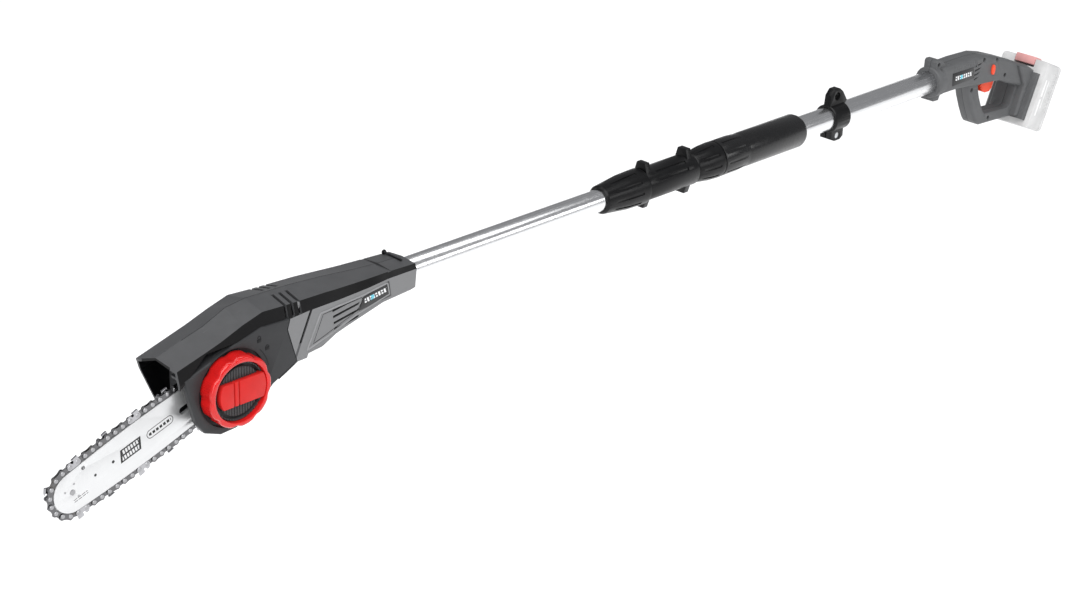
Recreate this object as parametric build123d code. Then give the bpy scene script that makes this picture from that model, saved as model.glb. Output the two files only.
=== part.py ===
from build123d import *
from math import acos, asin, cos, degrees, hypot, pi, radians, sin, sqrt
import os

# Telescoping battery pole saw.
# Modelling frame, in mm: X runs along the pole from the bar stud back to the battery, Y = 0 is the
# plane in which the housings split (the cover and knob are on the -Y side), Z is up from the pole axis.
# export() moves the origin to the centre of the carrying-strap eye.
strap_eye_x = 1002.0
strap_eye_z = 28.5
strap_eye_r = 5.5

# Pole and its two twist locks
inner_tube_r = 13.3
inner_tube_bore = 11.7
inner_tube_front = 212.0
inner_tube_back = 925.0
outer_tube_r = 15.0
outer_tube_bore = 13.5
outer_tube_front = 646.0
outer_tube_back = 1240.0
nut_front = 563.0
sleeve_front = 634.0
sleeve_back = 720.0
grip_front = 768.0
grip_back = 926.0
running_gap = 0.3

# Guide bar and chain
stud_z = -43.5
stud_r = 4.0
bar_y = -10.6
bar_tilt = 17.9
bar_thickness = 4.0
bar_groove = 1.5
pitch = 9.525
drive_link_count = 33
sprocket_teeth = 6
sprocket_u = -53.4
nose_pitch_r = 25.5
rail_arc_r = 1300.0
rail_gap = 3.8
link_height = 3.2
drive_link_t = 1.3
side_plate_t = 1.0
rivet_r = 1.8
hole_gap = 0.06

# Motor and gears
motor_tilt = 12.0
motor_y = 6.9
motor_r = 16.5
armature_r = 11.1
motor_front = 58.0
motor_back = 112.0
crown_teeth = 32
pinion_teeth = 8

# Shells
wall = 2.6
screw_r = 1.5

# Knob
knob_r = 39.0
pocket_r = 42.5
cover_face = -31.5
pocket_face = -26.0
cover_inner = -23.5

# Handle and battery
arm_half = 18.0
loop_half = 12.5
foot_x = 1436.0
foot_z = -30.0
foot_tilt = 23.5
battery_half = 38.0
battery_t = 42.0

low = (Align.CENTER, Align.CENTER, Align.MIN)
motor_axis = Plane(
    (-sprocket_u * cos(radians(bar_tilt)), motor_y, stud_z - sprocket_u * sin(radians(bar_tilt))),
    x_dir=(0, 1, 0),
    z_dir=(cos(radians(motor_tilt)), 0, sin(radians(motor_tilt))),
)
sprocket_x = motor_axis.origin.X
sprocket_z = motor_axis.origin.Z
# Bar plane: local x runs out along the bar, local y is its upper edge, local z is +Y
bar_plane = Plane(
    (0, bar_y, stud_z),
    x_dir=(-cos(radians(bar_tilt)), 0, -sin(radians(bar_tilt))),
    z_dir=(0, 1, 0),
)
# Foot plane: local x is the way the battery slides off, local y is -Y, local z points away from the foot
foot_plane = Plane(
    (foot_x, 0, foot_z),
    x_dir=(sin(radians(foot_tilt)), 0, cos(radians(foot_tilt))),
    z_dir=(cos(radians(foot_tilt)), 0, -sin(radians(foot_tilt))),
)


def export(name, shape):
    moved = Pos(-strap_eye_x, 0, -strap_eye_z) * shape
    export_step(moved, f"parts/{name}.step")


def box(x0, x1, y0, y1, z0, z1):
    return Pos((x0 + x1) / 2, (y0 + y1) / 2, (z0 + z1) / 2) * Box(x1 - x0, y1 - y0, z1 - z0)


def face_xz(points, y=0.0):
    return make_face(Polyline(*[(x, y, z) for x, z in points], close=True))


def prism(points, y0, y1):
    return extrude(face_xz(points, y0), amount=y1 - y0, dir=(0, 1, 0))


def grown_prism(points, grow, y0, y1):
    grown = offset(face_xz(points, y0), amount=grow, kind=Kind.INTERSECTION)
    return extrude(grown, amount=y1 - y0, dir=(0, 1, 0))


def rod_y(x, z, y0, y1, radius):
    return Plane((x, y0, z), z_dir=(0, 1, 0)) * Cylinder(radius, y1 - y0, align=low)


def ring_y(x, z, y0, y1, radius, bore):
    return rod_y(x, z, y0, y1, radius) - rod_y(x, z, y0 - 1, y1 + 1, bore)


def rod_x(x0, x1, radius, z=0.0):
    return Plane((x0, 0, z), z_dir=(1, 0, 0)) * Cylinder(radius, x1 - x0, align=low)


def turned(profile):
    return revolve(make_face(Polyline(*[(x, 0, r) for x, r in profile], close=True)), Axis.X)


def left(shape):
    return shape & box(-400, 1800, -200, 0, -300, 300)


def right(shape):
    return shape & box(-400, 1800, 0, 200, -300, 300)


def group(solids):
    return Compound(children=list(solids))


# ---------------------------------------------------------------- head housing

# x, ridge z, roof edge (y, z), side top (y, z), side foot (y, z), keel (y, z)
head_sections = [
    (-80, -2.0, 28.0, -10, 31.5, -25, 31.5, -92, 25.0, -100),
    (-33, 11.5, 28.5, 3, 31.5, -12, 31.5, -92, 25.0, -100),
    (-12, 17.0, 28.5, 9, 31.5, -5, 31.5, -92, 25.0, -100),
    (17, 29.0, 28.0, 19, 31.5, 4, 31.5, -92, 25.0, -100),
    (42, 32.0, 28.0, 26, 31.5, 11, 31.5, -92, 25.0, -100),
    (74, 31.0, 27.5, 24, 31.0, 9, 31.5, -92, 25.0, -100),
    (101, 30.0, 27.0, 23, 30.0, 10, 29.5, -36, 21.0, -44),
    (127, 28.0, 26.4, 22, 28.9, 9.5, 27.8, -34, 20.0, -42),
    (142, 26.7, 26.0, 21, 28.1, 9, 26.8, -28, 19.0, -35),
    (185, 22.0, 23.6, 18.5, 26.4, 9.5, 24.0, -20, 16.0, -26),
    (215, 19.5, 22.0, 17.5, 25.0, 11, 22.5, -14, 15.0, -20),
    (256, 17.5, 21.0, 15.5, 23.5, 10, 21.5, -12, 14.5, -17.5),
]
head_profile = [
    (-75, 45), (-75, -5), (-66, -27), (-51, -62), (-46, -69), (-36, -83), (-16, -91), (4, -90),
    (24, -83), (52, -57), (85, -42), (104, -42.5), (104, -60), (256, -60), (256, 45),
]
cover_outline = [
    (-59, -18), (4, 3), (38, 12), (76, 10), (72, -2), (84, -41), (52, -57), (24, -83), (4, -90),
    (-16, -91), (-36, -83), (-46, -69),
]
head_screw_places = [(88, 19), (92, -36), (180, 13), (176, -16), (246, 19), (-24, 1)]


def head_loft(inset):
    faces = []
    for x, ridge, ey, ez, sy, sz, fy, fz, ky, kz in head_sections:
        half = [(ey - inset, ez - inset), (sy - inset, sz - inset / 2), (fy - inset, fz + inset / 2),
                (ky - inset / 2, kz + inset)]
        loop = [(x, 0, ridge - inset)] + [(x, y, z) for y, z in half]
        loop += [(x, -y, z) for y, z in reversed(half)]
        faces.append(make_face(Polyline(*loop, close=True)))
    return loft(faces, ruled=True)


def front_rake():
    # the front edge leans forward towards the +Y side
    return Plane((-70, 0, 0)).rotated((0, 0, 9)) * Pos(-50, 0, -20) * Box(100, 200, 300)


def head_solid():
    lug = prism([(232, 16), (236, 23.5), (256, 23.5), (256, 16)], -12.5, 12.5)
    return head_loft(0) & prism(head_profile, -60, 60) + lug - front_rake()


def head_hollow():
    profile = offset(face_xz(head_profile, -60), amount=-wall, kind=Kind.INTERSECTION)
    inner = head_loft(wall) & extrude(profile, amount=120, dir=(0, 1, 0))
    mouth = prism([(-90, 40), (-68, 40), (-60, -30), (-44, -66), (-60, -66), (-90, -20)], -60, 60)
    inner += head_loft(wall) & mouth
    return inner - box(204, 300, -60, 60, -60, 60)


def head_vents():
    cuts = []
    for x in (70, 79, 88):
        slope = [(x, 40), (x + 3.6, 40), (x + 3.6, -20), (x, -20)]
        for side in (-1, 1):
            cuts.append(prism(slope, *sorted((side * 7, side * 40))) & box(60, 100, -60, 60, 10, 40))
    for row in range(4):
        z = 0.5 - 7.4 * row
        slot = [(134 + row, z), (134 + row, z - 2.8), (171, z + 1.2), (174, z + 4)]
        cuts.append(prism(slot, -60, 60))
    cuts.append(prism([(216, 40), (221, 40), (221, 16.8), (216, 16.8)], -60, 60) & box(200, 230, -60, 60, 16.5, 40))
    groove = prism([(101.5, 7.5), (105, 7.5), (90.5, -23), (87, -23)], -60, 60)
    cuts.append(groove & (head_loft(-1) - head_loft(1.3)))
    return cuts


def head_half(side):
    keep = left if side < 0 else right
    outer = head_solid()
    shell = keep(outer - head_hollow())
    socket = keep(box(206, 256, -30, 30, -30, 22) & head_loft(wall / 2))
    shell += socket
    shell -= rod_x(150, 300, inner_tube_r + 0.05)
    for cut in head_vents():
        shell -= cut
    for x, z in head_screw_places:
        y0, y1 = (-27, -0.01) if side < 0 else (0.01, 27)
        shell += rod_y(x, z, y0, y1, 4.2) & outer
    for x, z in head_screw_places:
        shell -= rod_y(x, z, -13, 40, screw_r + 0.1)
        shell -= rod_y(x, z, 17, 60, 3.3)
    return shell


def chain_channel():
    corners = [(26, -39), (26, 39), (130, 39), (130, -39)]
    flat = make_face(Polyline(*[(u, v, cover_inner - bar_y) for u, v in corners], close=True))
    return bar_plane * extrude(flat, amount=-3.2 - cover_inner, dir=(0, 0, 1))


def head_shell_left():
    shell = head_half(-1)
    shell -= grown_prism(cover_outline, 0.3, -60, -8.7)
    shell -= prism([(-70, -30), (-30, 2), (70, 8), (74, -40), (0, -86), (-60, -86)], -60, -3.2)
    shell -= chain_channel()
    web = [(-48, -20), (-30, 2), (20, 20), (72, 26), (79, 24), (84, -42), (52, -56), (24, -81),
           (4, -88), (-16, -89), (-34, -81), (-44, -66)]
    shell += prism(web, -3.0, -0.01) & head_solid()
    edge = [(77, 10), (73, -2), (85, -41)]
    rear_wall = edge + [(x + 2.4, z) for x, z in reversed(edge)]
    shell += prism(rear_wall, -28.5, -2.9) & head_solid()
    shell -= rod_y(sprocket_x, sprocket_z, -10, 1, 5.8)
    shell -= rod_y(0, stud_z, -10, 1, stud_r + 0.06)
    shell -= rod_y(-24, 1, -13, 40, screw_r + 0.1)
    return shell


def head_shell_right():
    shell = head_half(1)
    bulkhead = prism([(-33, 30), (-30.5, 30), (-30.5, -86), (-33, -86)], 0.01, 60)
    shell += bulkhead & head_solid()
    shell -= rod_y(-2, -22, 20, 60, 11.2)
    return shell


def sprocket_cover():
    cover = prism(cover_outline, cover_face, -9)
    cover = chamfer(cover.faces().sort_by(Axis.Y)[0].edges(), 1.4)
    cover -= grown_prism(cover_outline, -2.4, -29, -5)
    cover += ring_y(0, stud_z, cover_face, cover_inner, pocket_r + 2, pocket_r) & prism(cover_outline, -40, 0)
    cover -= rod_y(0, stud_z, -60, pocket_face, pocket_r)
    cover += rod_y(0, stud_z, pocket_face, cover_inner, pocket_r + 1)
    cover += ring_y(0, stud_z, cover_inner - 0.1, bar_y - bar_thickness / 2 - 0.1, 24.5, 21.8)
    cover -= rod_y(0, stud_z, -60, -20, 12.4)
    return cover - chain_channel()


def head_label():
    plate = [(178, 1), (172, -13), (220, -11), (215, 8)]
    return prism(plate, -60, 0) & (head_loft(-0.6) - head_loft(0))


def lock_marks():
    # engraved guide arc and two small padlocks beside the knob, standing 0.3 proud of the cover
    arc = ring_y(0, stud_z, cover_face - 0.3, cover_face, 47.6, 46.8)
    arc &= prism([(0, stud_z), (60, stud_z + 14), (60, stud_z + 52)], -40, 0)
    marks = [arc]
    for angle, open_lock in ((34, False), (50, True)):
        x = 54 * cos(radians(angle))
        z = stud_z + 54 * sin(radians(angle))
        body = box(x - 2.6, x + 2.6, cover_face - 0.3, cover_face, z - 2.2, z + 1.6)
        lift = 1.4 if open_lock else 0
        bow = ring_y(x, z + 1.6 + lift, cover_face - 0.3, cover_face, 2.1, 1.4)
        body += bow & box(x - 4, x + 4, -60, 0, z + 1.5, z + 8)
        marks.append(body)
    return group(marks)


def head_screws():
    screws = []
    for x, z in head_screw_places:
        screws.append(rod_y(x, z, -12, 17.1, screw_r) + rod_y(x, z, 17.1, 19.4, 3.0))
    return group(screws)


# ---------------------------------------------------------------- drive train


def bar_plate():
    outline = [(-36, -50), (-30, -18), (20, -2), (60, -2), (68, -18), (70, -42), (44, -54), (12, -80), (-20, -82)]
    plate = prism(outline, -6.4, -3.1)
    pad = make_face(Polyline((-32, -16, 2), (-32, 16, 2), (30, 16, 2), (30, -16, 2), close=True))
    plate += bar_plane * extrude(pad, amount=2.3, dir=(0, 0, 1))
    plate -= rod_y(sprocket_x, sprocket_z, -20, 0, 6.5)
    return plate - rod_y(0, stud_z, -20, 0, stud_r + 0.06)


def bar_stud():
    return rod_y(0, stud_z, -38, 0.05, stud_r) + rod_y(0, stud_z, 0.05, 3, 8)


def gear_case():
    outline = [(24, 2), (78, 2), (80, -36), (57, -50.6), (40, -50.6), (24, -42)]
    case = prism(outline, 0.2, 25.2)
    case -= rod_y(sprocket_x, sprocket_z, 5.9, 19.7, 21.6)
    case -= rod_y(sprocket_x, sprocket_z, -2, 27, 6.2)
    for y in (0.5, 20.0):
        case -= rod_y(sprocket_x, sprocket_z, y, y + 5.0, 9.55)
    tunnel = motor_axis * (Pos(0, 0, 8) * Cylinder(7.0, 60, align=low))
    return case - tunnel


def shaft_bearings():
    return group(ring_y(sprocket_x, sprocket_z, y, y + 4.9, 9.5, 5.05) for y in (0.55, 20.05))


def output_shaft():
    return rod_y(sprocket_x, sprocket_z, -15.0, 25.0, 5.0)


def drive_gear():
    disc = ring_y(sprocket_x, sprocket_z, 13.0, 17.0, 20.8, 5.05)
    disc += ring_y(sprocket_x, sprocket_z, 17.0, 19.4, 8.5, 5.05)
    for k in range(crown_teeth):
        angle = motor_tilt + (k + 0.5) * 360 / crown_teeth
        tooth = Pos(17.6, 0, 0) * Box(6.2, 1.3, 0.6, align=(Align.CENTER, Align.MAX, Align.CENTER))
        disc += Pos(sprocket_x, 13.05, sprocket_z) * Rot(0, -angle, 0) * tooth
    return disc


def pinion():
    gear = Cylinder(3.7, 6.0, align=low)
    for k in range(pinion_teeth):
        tooth = Pos(4.6, 0, 0) * Box(2.5, 0.7, 6.0, align=low)
        gear += Rot(0, 0, k * 360 / pinion_teeth) * tooth
    gear -= Cylinder(2.3, 20, align=low)
    return motor_axis * (Pos(0, 0, 14.8) * gear)


def motor_shaft():
    return motor_axis * (Pos(0, 0, 14.8) * (Cylinder(2.25, 100.8, align=low)))


def motor_armature():
    core = Cylinder(armature_r, 36, align=low)
    for k in range(10):
        core -= Rot(0, 0, 36 * k) * (Pos(armature_r, 0, 0) * Box(3.4, 2.0, 80))
    core += Pos(0, 0, 36) * Cylinder(7.0, 5, align=low)
    core -= Cylinder(2.3, 120)
    return motor_axis * (Pos(0, 0, motor_front + 6) * core)


def motor_can():
    can = Pos(0, 0, motor_front) * Cylinder(motor_r, motor_back - motor_front, align=low)
    can -= Pos(0, 0, motor_front + 2) * Cylinder(motor_r - 1.6, motor_back - motor_front - 4, align=low)
    can -= Pos(0, 0, motor_front - 5) * Cylinder(5.55, 100, align=low)
    return motor_axis * can


def motor_magnets():
    ring = Pos(0, 0, motor_front + 8) * Cylinder(motor_r - 1.7, 32, align=low)
    ring -= Pos(0, 0, motor_front) * Cylinder(armature_r + 0.6, 60, align=low)
    halves = [ring & (Pos(side * 15, 0, 80) * Box(22, 60, 100)) for side in (-1, 1)]
    return group(motor_axis * half for half in halves)


def motor_bearings():
    rings = []
    for place in (motor_front - 0.9, motor_back - 3.1):
        rings.append(motor_axis * (Pos(0, 0, place) * (Cylinder(5.5, 4, align=low) - Cylinder(2.3, 20))))
    return group(rings)


def drive_sprocket():
    # rim sprocket: hub between two scalloped side discs, so the tangs run between the discs
    hub = Cylinder(9.9, 1.9)
    discs = []
    for w in (1.75, -1.75):
        disc = Pos(0, 0, w) * Cylinder(13.9, 1.7)
        for k in range(sprocket_teeth):
            disc -= Rot(0, 0, 60 * k) * (Pos(14.6, 0, w) * Cylinder(2.6, 3))
        discs.append(disc)
    wheel = hub + discs[0] + discs[1] - Cylinder(5.05, 20)
    return bar_plane * (Pos(sprocket_u, 0, 0) * wheel)


def sprocket_clip():
    return ring_y(sprocket_x, sprocket_z, -14.4, -13.5, 7.5, 5.05)


def oil_tank():
    outline = [(-18, 2), (4, 9), (22, 14.5), (66, 17), (66, 4), (20.5, 4), (20.5, -62), (-18, -62)]
    tank = prism(outline, 5, 24.8) - grown_prism(outline, -1.6, 6.6, 23.2)
    tank += rod_y(-2, -22, 24, 33.5, 10.4)
    tank -= rod_y(-2, -22, 20, 40, 8.8)
    for x, z in head_screw_places:
        tank -= rod_y(x, z, 0, 40, 4.4)
    return tank


def oil_cap():
    cap = rod_y(-2, -22, 34.0, 39.0, 14.0) + ring_y(-2, -22, 31.9, 34.0, 14.0, 10.7)
    cap += rod_y(-2, -22, 28.0, 34.0, 8.5)
    return cap + box(-14, 10, 39.0, 42.0, -24.5, -19.5)


# ---------------------------------------------------------------- guide bar and chain

sprocket_pitch_r = pitch / 2 / sin(pi / sprocket_teeth / 2)


def rail_circle(nose_u):
    # centre of the large circle that wraps the sprocket circle and the nose circle from above
    a = rail_arc_r - sprocket_pitch_r
    b = rail_arc_r - nose_pitch_r
    span = nose_u - sprocket_u
    along = (a * a - b * b + span * span) / (2 * span)
    return sprocket_u + along, -sqrt(a * a - along * along)


def rail_angles(nose_u):
    cu, cv = rail_circle(nose_u)
    at_sprocket = acos((sprocket_u - cu) / hypot(sprocket_u - cu, cv))
    at_nose = acos((nose_u - cu) / hypot(nose_u - cu, cv))
    return at_sprocket, at_nose


def loop_length(nose_u):
    at_sprocket, at_nose = rail_angles(nose_u)
    wraps = 2 * nose_pitch_r * at_nose + 2 * sprocket_pitch_r * (pi - at_sprocket)
    return wraps + 2 * rail_arc_r * (at_sprocket - at_nose)


def solve_nose():
    low_u, high_u = 150.0, 230.0
    for _ in range(40):
        mid = (low_u + high_u) / 2
        if loop_length(mid) < drive_link_count * 2 * pitch + 1.0:
            low_u = mid
        else:
            high_u = mid
    return low_u


nose_u = solve_nose()


def chain_point(s):
    # point and travel direction on the pitch line, s = 0..1 round the loop, starting at the nose tip
    total = loop_length(nose_u)
    at_sprocket, at_nose = rail_angles(nose_u)
    cu, cv = rail_circle(nose_u)
    far = s * total
    mirrored = far > total / 2
    if mirrored:
        far = total - far
    nose_arc = nose_pitch_r * at_nose
    rail_arc = rail_arc_r * (at_sprocket - at_nose)
    if far < nose_arc:
        angle = far / nose_pitch_r
        point = (nose_u + nose_pitch_r * cos(angle), nose_pitch_r * sin(angle))
    elif far < nose_arc + rail_arc:
        angle = at_nose + (far - nose_arc) / rail_arc_r
        point = (cu + rail_arc_r * cos(angle), cv + rail_arc_r * sin(angle))
    else:
        angle = at_sprocket + (far - nose_arc - rail_arc) / sprocket_pitch_r
        point = (sprocket_u + sprocket_pitch_r * cos(angle), sprocket_pitch_r * sin(angle))
    sign = -1 if mirrored else 1
    return point[0], sign * point[1]


def rivet_point(k):
    return chain_point((k % (2 * drive_link_count)) / (2 * drive_link_count))


def link_place(k):
    # between rivet k and k + 1: local x against the chain's travel, local y outwards
    u0, v0 = rivet_point(k)
    u1, v1 = rivet_point(k + 1)
    along = Vector(u1 - u0, v1 - v0, 0).normalized()
    middle = ((u0 + u1) / 2, (v0 + v1) / 2, 0)
    return bar_plane * Plane(middle, x_dir=-along, z_dir=(0, 0, 1)).location


def strap_face(radius, waist):
    ends = [Pos(x, 0) * Circle(radius) for x in (-pitch / 2, pitch / 2)]
    body = ends[0] + ends[1] + Pos(0, (waist - radius) / 2) * Rectangle(pitch, radius + waist)
    holes = [Pos(x, 0) * Circle(rivet_r + hole_gap) for x in (-pitch / 2, pitch / 2)]
    return body - holes[0] - holes[1]


def drive_link():
    tang = Polygon((-5.0, -2.0), (-3.4, -5.0), (-1.4, -7.4), (0.8, -7.8), (3.4, -5.2), (4.8, -2.0), align=None)
    return extrude(strap_face(3.3, 2.2) + tang, amount=drive_link_t / 2, both=True)


def side_plate(side):
    start = drive_link_t / 2 + 0.06
    plate = extrude(strap_face(link_height, 2.4), amount=side_plate_t, dir=(0, 0, 1))
    return Pos(0, 0, start if side > 0 else -start - side_plate_t) * plate


def cutter(side):
    tooth = Polygon((-7.0, 1.0), (-6.4, 7.0), (-0.2, 6.2), (-0.8, 3.6), (1.2, 2.0), (2.6, 4.4), (5.0, 5.2),
                    (6.8, 2.6), (6.6, 0.6), align=None)
    holes = [Pos(x, 0) * Circle(rivet_r + hole_gap) for x in (-pitch / 2, pitch / 2)]
    outline = strap_face(link_height, 2.4) + tooth - holes[0] - holes[1]
    start = drive_link_t / 2 + 0.06
    plate = Pos(0, 0, start) * extrude(outline, amount=side_plate_t, dir=(0, 0, 1))
    roof = Polygon((-6.5, 5.9), (-6.4, 7.1), (-0.2, 6.3), (-0.4, 5.3), align=None)
    plate += Pos(0, 0, -0.3) * extrude(roof, amount=3.7, dir=(0, 0, 1))
    return plate if side > 0 else mirror(plate, about=Plane.XY)


def chain_nodes():
    links, straps, cutters = [], [], {1: [], -1: []}
    for k in range(drive_link_count):
        links.append(link_place(2 * k) * drive_link())
        place = link_place(2 * k + 1)
        side = {0: 1, 2: -1}.get(k % 4, 0) if k < drive_link_count - 1 else 0
        for s in (1, -1):
            if s == side:
                cutters[s].append(place * cutter(s))
            else:
                straps.append(place * side_plate(s))
    rivets = []
    for k in range(2 * drive_link_count):
        u, v = rivet_point(k)
        reach = drive_link_t / 2 + 0.06 + side_plate_t
        pin = Cylinder(rivet_r, 2 * reach + 0.1)
        for w in (reach + 0.2, -reach - 0.2):
            pin += Pos(0, 0, w) * Cylinder(rivet_r + 0.6, 0.34)
        rivets.append(bar_plane * (Pos(u, v, 0) * pin))
    return links, straps, cutters, rivets


def bar_face(inset):
    at_sprocket, at_nose = rail_angles(nose_u)
    cu, cv = rail_circle(nose_u)
    rail_r = rail_arc_r - rail_gap - inset
    nose_r = nose_pitch_r - rail_gap - inset
    tail_u = -34.0 + inset

    def on_rail(u):
        return cv + sqrt(rail_r ** 2 - (u - cu) ** 2)

    nose = (nose_u + nose_r * cos(at_nose), nose_r * sin(at_nose))
    start = (tail_u + 8, on_rail(tail_u + 8))
    middle = (90.0, on_rail(90.0))

    def down(p):
        return p[0], -p[1]

    top = ThreePointArc(start, middle, nose)
    tip = ThreePointArc(nose, (nose_u + nose_r, 0), down(nose))
    bottom = ThreePointArc(down(nose), down(middle), down(start))
    tail = Polyline(down(start), (tail_u, -9), (tail_u, 9), start)
    return make_face([top, tip, bottom, tail])


def guide_bar():
    bar = extrude(bar_face(0), amount=bar_thickness / 2, both=True)
    core = extrude(bar_face(6.2), amount=bar_groove / 2, both=True)
    core -= Pos(nose_u, 0, 0) * Cylinder(nose_pitch_r - 7.9 + 1.0, 4)
    groove = extrude(bar_face(-3), amount=bar_groove / 2, both=True) - core
    bar -= groove
    slot = Pos(10, 0, 0) * Box(83, 2 * stud_r + 0.3, 20) + Pos(51.5, 0, 0) * Cylinder(stud_r + 0.15, 20)
    bar -= slot
    for u, v, r in ((8.0, 13.9, 1.9), (8.0, -13.9, 1.9), (172.5, 17.0, 1.6), (nose_u, 0, 3.1)):
        bar -= Pos(u, v, 0) * Cylinder(r, 20)
    return bar_plane * bar


def nose_sprocket():
    star = Cylinder(nose_pitch_r - 8.6, 1.1) - Cylinder(3.2, 4)
    for k in range(9):
        star -= Rot(0, 0, 40 * k) * (Pos(nose_pitch_r - 8.6, 0, 0) * Cylinder(1.6, 4))
    return bar_plane * (Pos(nose_u, 0, 0) * star)


def nose_rivets():
    pin = Cylinder(3.05, bar_thickness + 0.5)
    small = [Pos(nose_u + 9 * cos(a), 9 * sin(a), w) * Cylinder(1.1, 0.3)
             for a in (0.6, 2.1, 4.2) for w in (bar_thickness / 2 + 0.15, -bar_thickness / 2 - 0.15)]
    return group([bar_plane * (Pos(nose_u, 0, 0) * pin)] + [bar_plane * s for s in small])


def tension_pin():
    return bar_plane * (Pos(8.0, 13.9, -2.6) * Cylinder(1.8, 9.0))


# ---------------------------------------------------------------- knob


def tension_wheel():
    ring = rod_y(0, stud_z, -46, -26.6, knob_r)
    ring = chamfer(ring.edges().group_by(Axis.Y)[0], 2.0)
    for k in range(18):
        angle = radians(20 * k)
        ring -= rod_y(45.2 * cos(angle), stud_z + 45.2 * sin(angle), -60, 0, 7.6)
    ring -= rod_y(0, stud_z, -60, -29.2, 32.0)
    ring += rod_y(0, stud_z, -28, -21.9, 12.2)
    return ring - rod_y(0, stud_z, -60, 0, 9.0)


def tension_cam():
    cam = ring_y(0, stud_z, -21.7, -18.6, 20.8, 9.0)
    return cam - ring_y(0, stud_z, -20.2, -18.0, 18.4, 13.6)


def lock_knob():
    knob = rod_y(0, stud_z, -41.5, -29.6, 31.6)
    knob -= ring_y(0, stud_z, -60, -36.0, 30.0, 26.5)
    band = box(-40, 40, -60, -38, stud_z - 13.8, stud_z + 13.8)
    knob -= band
    for k in range(-7, 8):
        knob -= box(3.4 * k - 0.7, 3.4 * k + 0.7, -60, -40.6, stud_z - 30, stud_z + 30)
    return knob - rod_y(0, stud_z, -60, 0, 7.6)


def lock_grip():
    disc = rod_y(0, stud_z, -45.5, -38.05, 26.3) & box(-40, 40, -60, 0, stud_z - 13.5, stud_z + 13.5)
    bar = box(-3, 31.4, -45.5, -38.05, stud_z - 13.5, stud_z + 13.5) & rod_y(0, stud_z, -60, 0, 31.4)
    grip = disc + bar
    for x in (-9.5, -3.5):
        grip -= box(x, x + 1.6, -60, -43.5, stud_z - 20, stud_z + 20)
    return grip - rod_y(0, stud_z, -40.4, 0, 7.6)


def lock_nut():
    nut = rod_y(0, stud_z, -40.2, -13.0, 7.5) - rod_y(0, stud_z, -39.0, 0, stud_r + 0.06)
    return nut


# ---------------------------------------------------------------- pole and twist locks


def tube_end_bush():
    bush = turned([(inner_tube_back + 0.05, 9.0), (inner_tube_back + 8, 9.0), (inner_tube_back + 8, 13.42),
                   (inner_tube_back + 0.05, 13.42)])
    return bush + turned([(inner_tube_back - 18, 9.0), (inner_tube_back + 1, 9.0),
                          (inner_tube_back + 1, inner_tube_bore - 0.05), (inner_tube_back - 18, inner_tube_bore - 0.05)])


def nut_grooves(nut, x0, x1, radius, slope, count):
    for k in range(count):
        slot = Pos((x0 + x1) / 2, 0, radius) * Rot(0, slope, 0) * Box(x1 - x0, 3.0, 2.4)
        nut -= Rot(360 / count * (k + 0.5), 0, 0) * slot
    return nut


def lock_cone(front, back, small_r, large_r, bore):
    span = back - front
    profile = [(front, small_r - 2), (front + 2.5, small_r), (front + 0.55 * span, large_r - 0.8),
               (back - 5, large_r), (back - 1.5, large_r), (back, large_r - 1.5)]
    cone = turned([(front, bore)] + profile + [(back, bore)])
    slope = -degrees(asin((large_r - small_r) / span)) * 0.9
    mid_r = (small_r + large_r) / 2 + 0.9
    return nut_grooves(cone, front + 0.2 * span, back - 0.2 * span, mid_r, slope, 10)


def front_lock_nut():
    nut = lock_cone(nut_front, sleeve_front - 0.6, 17.2, 22.0, inner_tube_r + running_gap)
    return nut - turned([(nut_front + 24, 0), (sleeve_front + 1, 0), (sleeve_front + 1, 18.6), (nut_front + 24, 18.6)])


def front_collet():
    # split clamping cone that the front nut squeezes on the inner tube
    collet = turned([(nut_front + 26, inner_tube_r + 0.15), (nut_front + 26, 16.2), (nut_front + 44, 17.4),
                     (sleeve_front + 2, 17.4), (sleeve_front + 2, inner_tube_r + 0.15)])
    for k in range(6):
        collet -= Rot(60 * k, 0, 0) * box(nut_front + 20, nut_front + 50, -0.8, 0.8, 10, 25)
    return collet


def lug_flange(x0, x1):
    # a stop lug above and a shorter one below
    half = [(6.5, 29), (10, 17), (10, -17), (6.5, -27)]
    loop = [(x0, y, z) for y, z in half] + [(x0, -y, z) for y, z in reversed(half)]
    return extrude(make_face(Polyline(*loop, close=True)), amount=x1 - x0, dir=(1, 0, 0))


def coupling_sleeve():
    sleeve = rod_x(sleeve_front, sleeve_back, 20.0)
    sleeve += lug_flange(sleeve_front + 0.5, sleeve_front + 8) + lug_flange(sleeve_back - 13, sleeve_back - 5)
    for angle in (35, 62, 145, 215, 298, 325):
        sleeve -= Rot(angle, 0, 0) * box(sleeve_front + 16, sleeve_back - 18, -2, 2, 18.4, 25)
    sleeve -= rod_x(outer_tube_front, sleeve_back + 5, outer_tube_r + 0.05)
    sleeve -= rod_x(sleeve_front - 5, outer_tube_front + 1, inner_tube_r + running_gap)
    return sleeve - rod_x(sleeve_front - 1, sleeve_front + 2.05, 17.5)


def rear_lock_nut():
    return lock_cone(sleeve_back + 0.6, grip_front - 0.6, 18.6, 22.6, outer_tube_r + running_gap)


def grip_sleeve():
    profile = [(grip_front, 20.5), (grip_front + 1, 22.4), (grip_front + 30, 22.4), (grip_front + 46, 21.2),
               (grip_front + 50, 21.6), (grip_back - 6, 21.6), (grip_back - 1.5, 19.8), (grip_back, 17.5)]
    grip = turned([(grip_front, outer_tube_r + 0.05)] + profile + [(grip_back, outer_tube_r + 0.05)])
    return nut_grooves(grip, grip_front + 5, grip_front + 40, 22.6, 0, 10)


def inner_tube():
    return rod_x(inner_tube_front, inner_tube_back, inner_tube_r) - rod_x(0, 1000, inner_tube_bore)


def outer_tube():
    return rod_x(outer_tube_front, outer_tube_back, outer_tube_r) - rod_x(600, 1300, outer_tube_bore)


# ---------------------------------------------------------------- strap ring

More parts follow.
